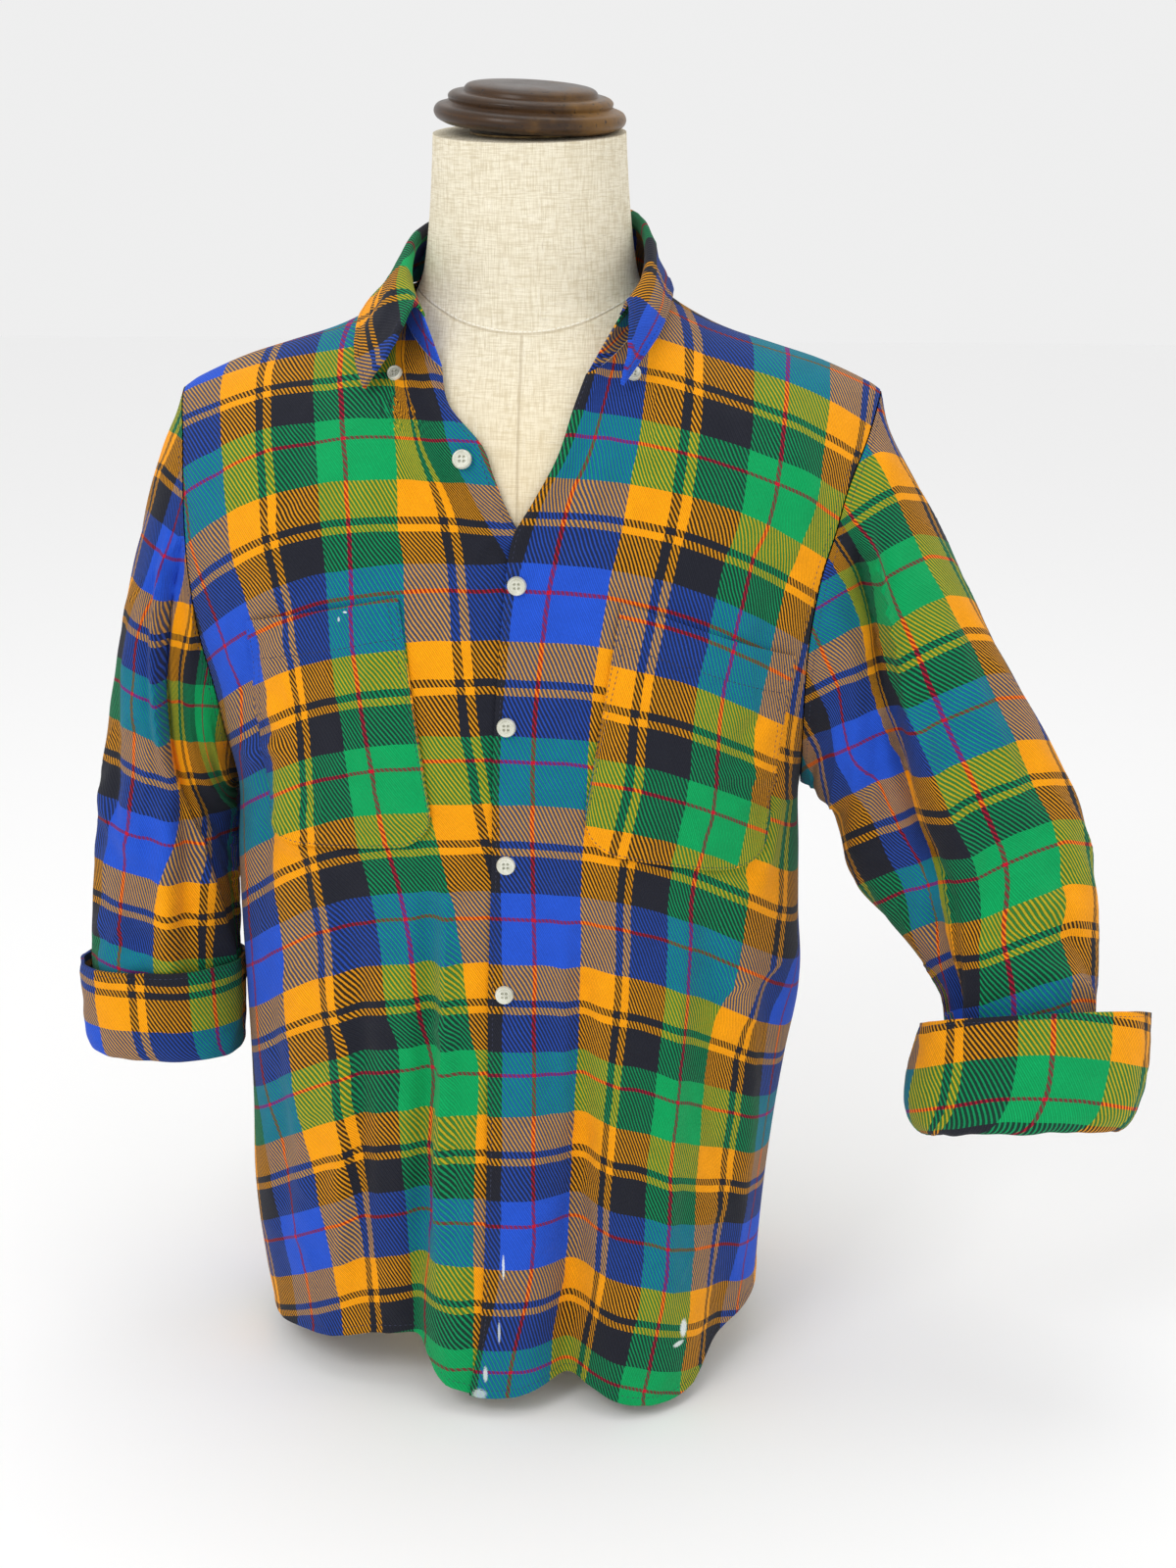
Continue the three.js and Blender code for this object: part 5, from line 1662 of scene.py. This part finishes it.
def turned(name, profile, sides, material):
    """A lathed solid from (radius, height) pairs, standing on its own plane."""
    angles = np.linspace(0, 2 * math.pi, sides, endpoint=False)
    profile = np.array(profile, float)
    r, h = profile[:, :1], profile[:, 1:]
    grid = np.stack([r * np.cos(angles), r * np.sin(angles), h + 0 * angles], axis=-1)
    count, last = sides, len(profile) - 1
    row, column = np.indices((last, count)).reshape(2, -1)
    after = (column + 1) % count
    quads = np.stack([row * count + column, row * count + after, (row + 1) * count + after, (row + 1) * count + column], 1)
    ends = [list(range(count)), [last * count + i for i in range(count)]]
    return finish_mesh(name, grid.reshape(-1, 3) * MM, quads.tolist() + ends, material, sharp=35)


def rounded(points, step=10):
    """Eases a profile's corners with a smooth curve through its points."""
    points = [np.array([[r, 0, h]], float) for r, h in points]
    shares = np.linspace(0, 1, (len(points) - 1) * step + 1)
    return [(max(p[0][0], 0.05), p[0][2]) for p in curve_through(points, shares)]


def neck_fittings():
    lean = math.atan(RIM_SLOPE)
    disc = turned("neck_disc", [(0.1, 0), (DISC_RADIUS, 0), (DISC_RADIUS, DISC_HEIGHT), (0.1, DISC_HEIGHT)], 96, BRASS)
    disc.rotation_euler = (lean, 0, 0)
    disc.location = Vector((0, 0, RIM_Z + SEAM_GAP)) * MM
    ride_as(disc, ["form_disc"])
    c = CAP_RADIUS
    profile = [(0.1, 0), (c - 6, 0)] + rounded(
        [
            (c - 6, 0),
            (c - 1.6, 2.4),
            (c, 6),
            (c - 1.6, 9.6),
            (c - 6.5, 11.6),
            (c - 8.6, 12.8),
        ]
    )[1:]
    profile += rounded([(c - 8.6, 12.8), (c - 8.2, 15.4), (c - 10.5, 17.6), (c - 17, 18.6)])[1:]
    profile += rounded([(c - 17, 18.6), (c - 18.6, 21.4), (c - 22, 23), (0.1, 24)])[1:]
    cap = turned("cap_turned", profile, 128, VARNISH)
    cap.rotation_euler = (Matrix.Rotation(CAP_TILT, 3, "Y") @ Matrix.Rotation(lean, 3, "X")).to_euler()
    lift = RIM_Z + DISC_HEIGHT + 2 * SEAM_GAP + DISC_RADIUS * math.tan(CAP_TILT)
    cap.location = Vector((0, 0, lift)) * MM
    ride_as(cap, ["form_cap"])


# Sewing

STITCH_PITCH = 3.4
STITCH_LENGTH = 2.5
STITCH_WIDTH = 0.62
STITCH_RISE = 0.22
GRIDS = {}


def keep_grid(name, outer, normals):
    GRIDS[name] = (outer, normals)


def inset_line(name, edge, inset):
    """A line on a kept grid, a given way in from one of its edges."""
    outer, normals = GRIDS[name]
    if edge in ("right", "top"):
        axis = 1 if edge == "right" else 0
        outer, normals = np.flip(outer, axis), np.flip(normals, axis)
    if edge in ("left", "right"):
        outer, normals = outer.swapaxes(0, 1), normals.swapaxes(0, 1)
    length = arc_length(outer, 0)
    points = np.empty((outer.shape[1], 3))
    facing = np.empty_like(points)
    for column in range(outer.shape[1]):
        for axis in range(3):
            points[column, axis] = np.interp(inset, length[:, column], outer[:, column, axis])
            facing[column, axis] = np.interp(inset, length[:, column], normals[:, column, axis])
    return points, facing


def stitch_points(points, facing, start, end):
    """Six corners of each stitch along a line: two ends sunk in the cloth, four round it."""
    length = np.concatenate([[0], np.cumsum(np.linalg.norm(np.diff(points, axis=0), axis=-1))])
    middles = np.arange(start, length[-1] - end, STITCH_PITCH)

    def at(values, place):
        return np.stack([np.interp(place, length, values[:, axis]) for axis in range(3)], axis=-1)

    tail, head = at(points, middles - STITCH_LENGTH / 2), at(points, middles + STITCH_LENGTH / 2)
    up = unit(at(facing, middles))
    across = unit(np.cross(up, head - tail)) * STITCH_WIDTH / 2
    middle = at(points, middles)
    return np.stack([tail, head, middle + up * STITCH_RISE, middle + across, middle - up * STITCH_RISE, middle - across], 1)


def sew(name, rows, material):
    """One piece of thread from rows of (grid, edge, inset, start, end)."""
    corners = []
    for grid, edge, inset, start, end in rows:
        corners.append(stitch_points(*inset_line(grid, edge, inset), start, end))
    corners = np.concatenate(corners)
    ring = ((2, 3), (3, 4), (4, 5), (5, 2))
    pattern = [(0, b, a) for a, b in ring] + [(1, a, b) for a, b in ring]
    faces = (np.arange(len(corners))[:, None, None] * 6 + np.array(pattern)).reshape(-1, 3)
    piece = finish_mesh(name, corners.reshape(-1, 3) * MM, faces, material, sharp=180)
    return ride_as(piece, [])


def sewing():
    for name in ("right", "left"):
        front_grid, pocket_grid = f"front_{name}", f"pocket_{name}"
        seam = "left" if name == "right" else "right"
        sides = [("left", 1.6), ("left", 6.4), ("right", 1.6), ("right", 6.4)]
        rows = [(pocket_grid, edge, inset, 4, 3) for edge, inset in sides]
        rows += [(pocket_grid, "bottom", 1.6, 3, 3), (pocket_grid, "top", POCKET_BAND, 3, 3)]
        rows += [(front_grid, "bottom", 5.5, 4, 4), (front_grid, seam, 5.0, 380, 4)]
        rows += [(front_grid, "left" if name == "left" else "right", 3.0, 4, 4)]
        rows += [(f"cuff_{name}", "top", 3.0, 2, 2), (f"sleeve_{name}", "bottom", 4.0, 2, 2)]
        sew(f"thread_{name}", rows, NAVY_THREAD)
    rows = [("back", "bottom", 5.5, 4, 4), ("yoke", "bottom", 2.0, 4, 4), ("yoke", "bottom", 7.0, 4, 4)]
    rows += [("leaf", "top", 4.5, 3, 3), ("leaf", "left", 4.0, 8, 2), ("leaf", "right", 4.0, 8, 2)]
    rows += [("stand", "bottom", 2.5, 3, 3)]
    sew("thread_back_and_collar", rows, NAVY_THREAD)


# Camera, light and floor


def studio():
    scene = bpy.context.scene
    scene.view_settings.view_transform = "Standard"
    world = bpy.data.worlds.new("studio_world")
    world.use_nodes = True
    world.node_tree.nodes["Background"].inputs[0].default_value = (1.0, 1.0, 1.0, 1)
    world.node_tree.nodes["Background"].inputs[1].default_value = 0.86
    scene.world = world

    camera = bpy.data.objects.new("camera", bpy.data.cameras.new("camera"))
    camera.location = (0.1324, -1.4550, 0.828)
    camera.rotation_euler = (math.radians(73), 0, math.radians(3.83))
    camera.data.lens = 54
    camera.data.sensor_width = 36
    bpy.context.collection.objects.link(camera)
    scene.camera = camera

    for name, place, size, power in (
        ("key", (-0.9, -1.6, 1.9), 0.9, 13),
        ("fill", (1.4, -1.4, 1.0), 1.6, 3),
        ("top", (0.1, 0.2, 2.4), 1.4, 7),
    ):
        light = bpy.data.objects.new(name, bpy.data.lights.new(name, "AREA"))
        light.data.size = size
        light.data.energy = power
        light.location = place
        aim = Vector((0, 0, 0.45)) - Vector(place)
        light.rotation_euler = aim.to_track_quat("-Z", "Y").to_euler()
        bpy.context.collection.objects.link(light)

    floor_mesh = bpy.data.meshes.new("floor")
    floor_mesh.from_pydata([(-6, -6, 0), (6, -6, 0), (6, 6, 0), (-6, 6, 0)], [], [(0, 1, 2, 3)])
    floor = bpy.data.objects.new("floor", floor_mesh)
    s = Shader("floor_pale")
    floor_mesh.materials.append(s.finish(Base_Color=(0.98, 0.98, 0.98, 1), Roughness=0.9))
    bpy.context.collection.objects.link(floor)


studio()
dress_form()
neck_fittings()
for side in (-1, 1):
    front(side)
    sleeve(side)
    cuff(side)
back_panel()
yoke()
collar_stand()
collar_leaf()


for side in (-1, 1):
    pocket(side)
for name, (side, x, z, radius, lift) in BUTTONS.items():
    shirt_button(name, side, x, z, radius, lift)
sewing()
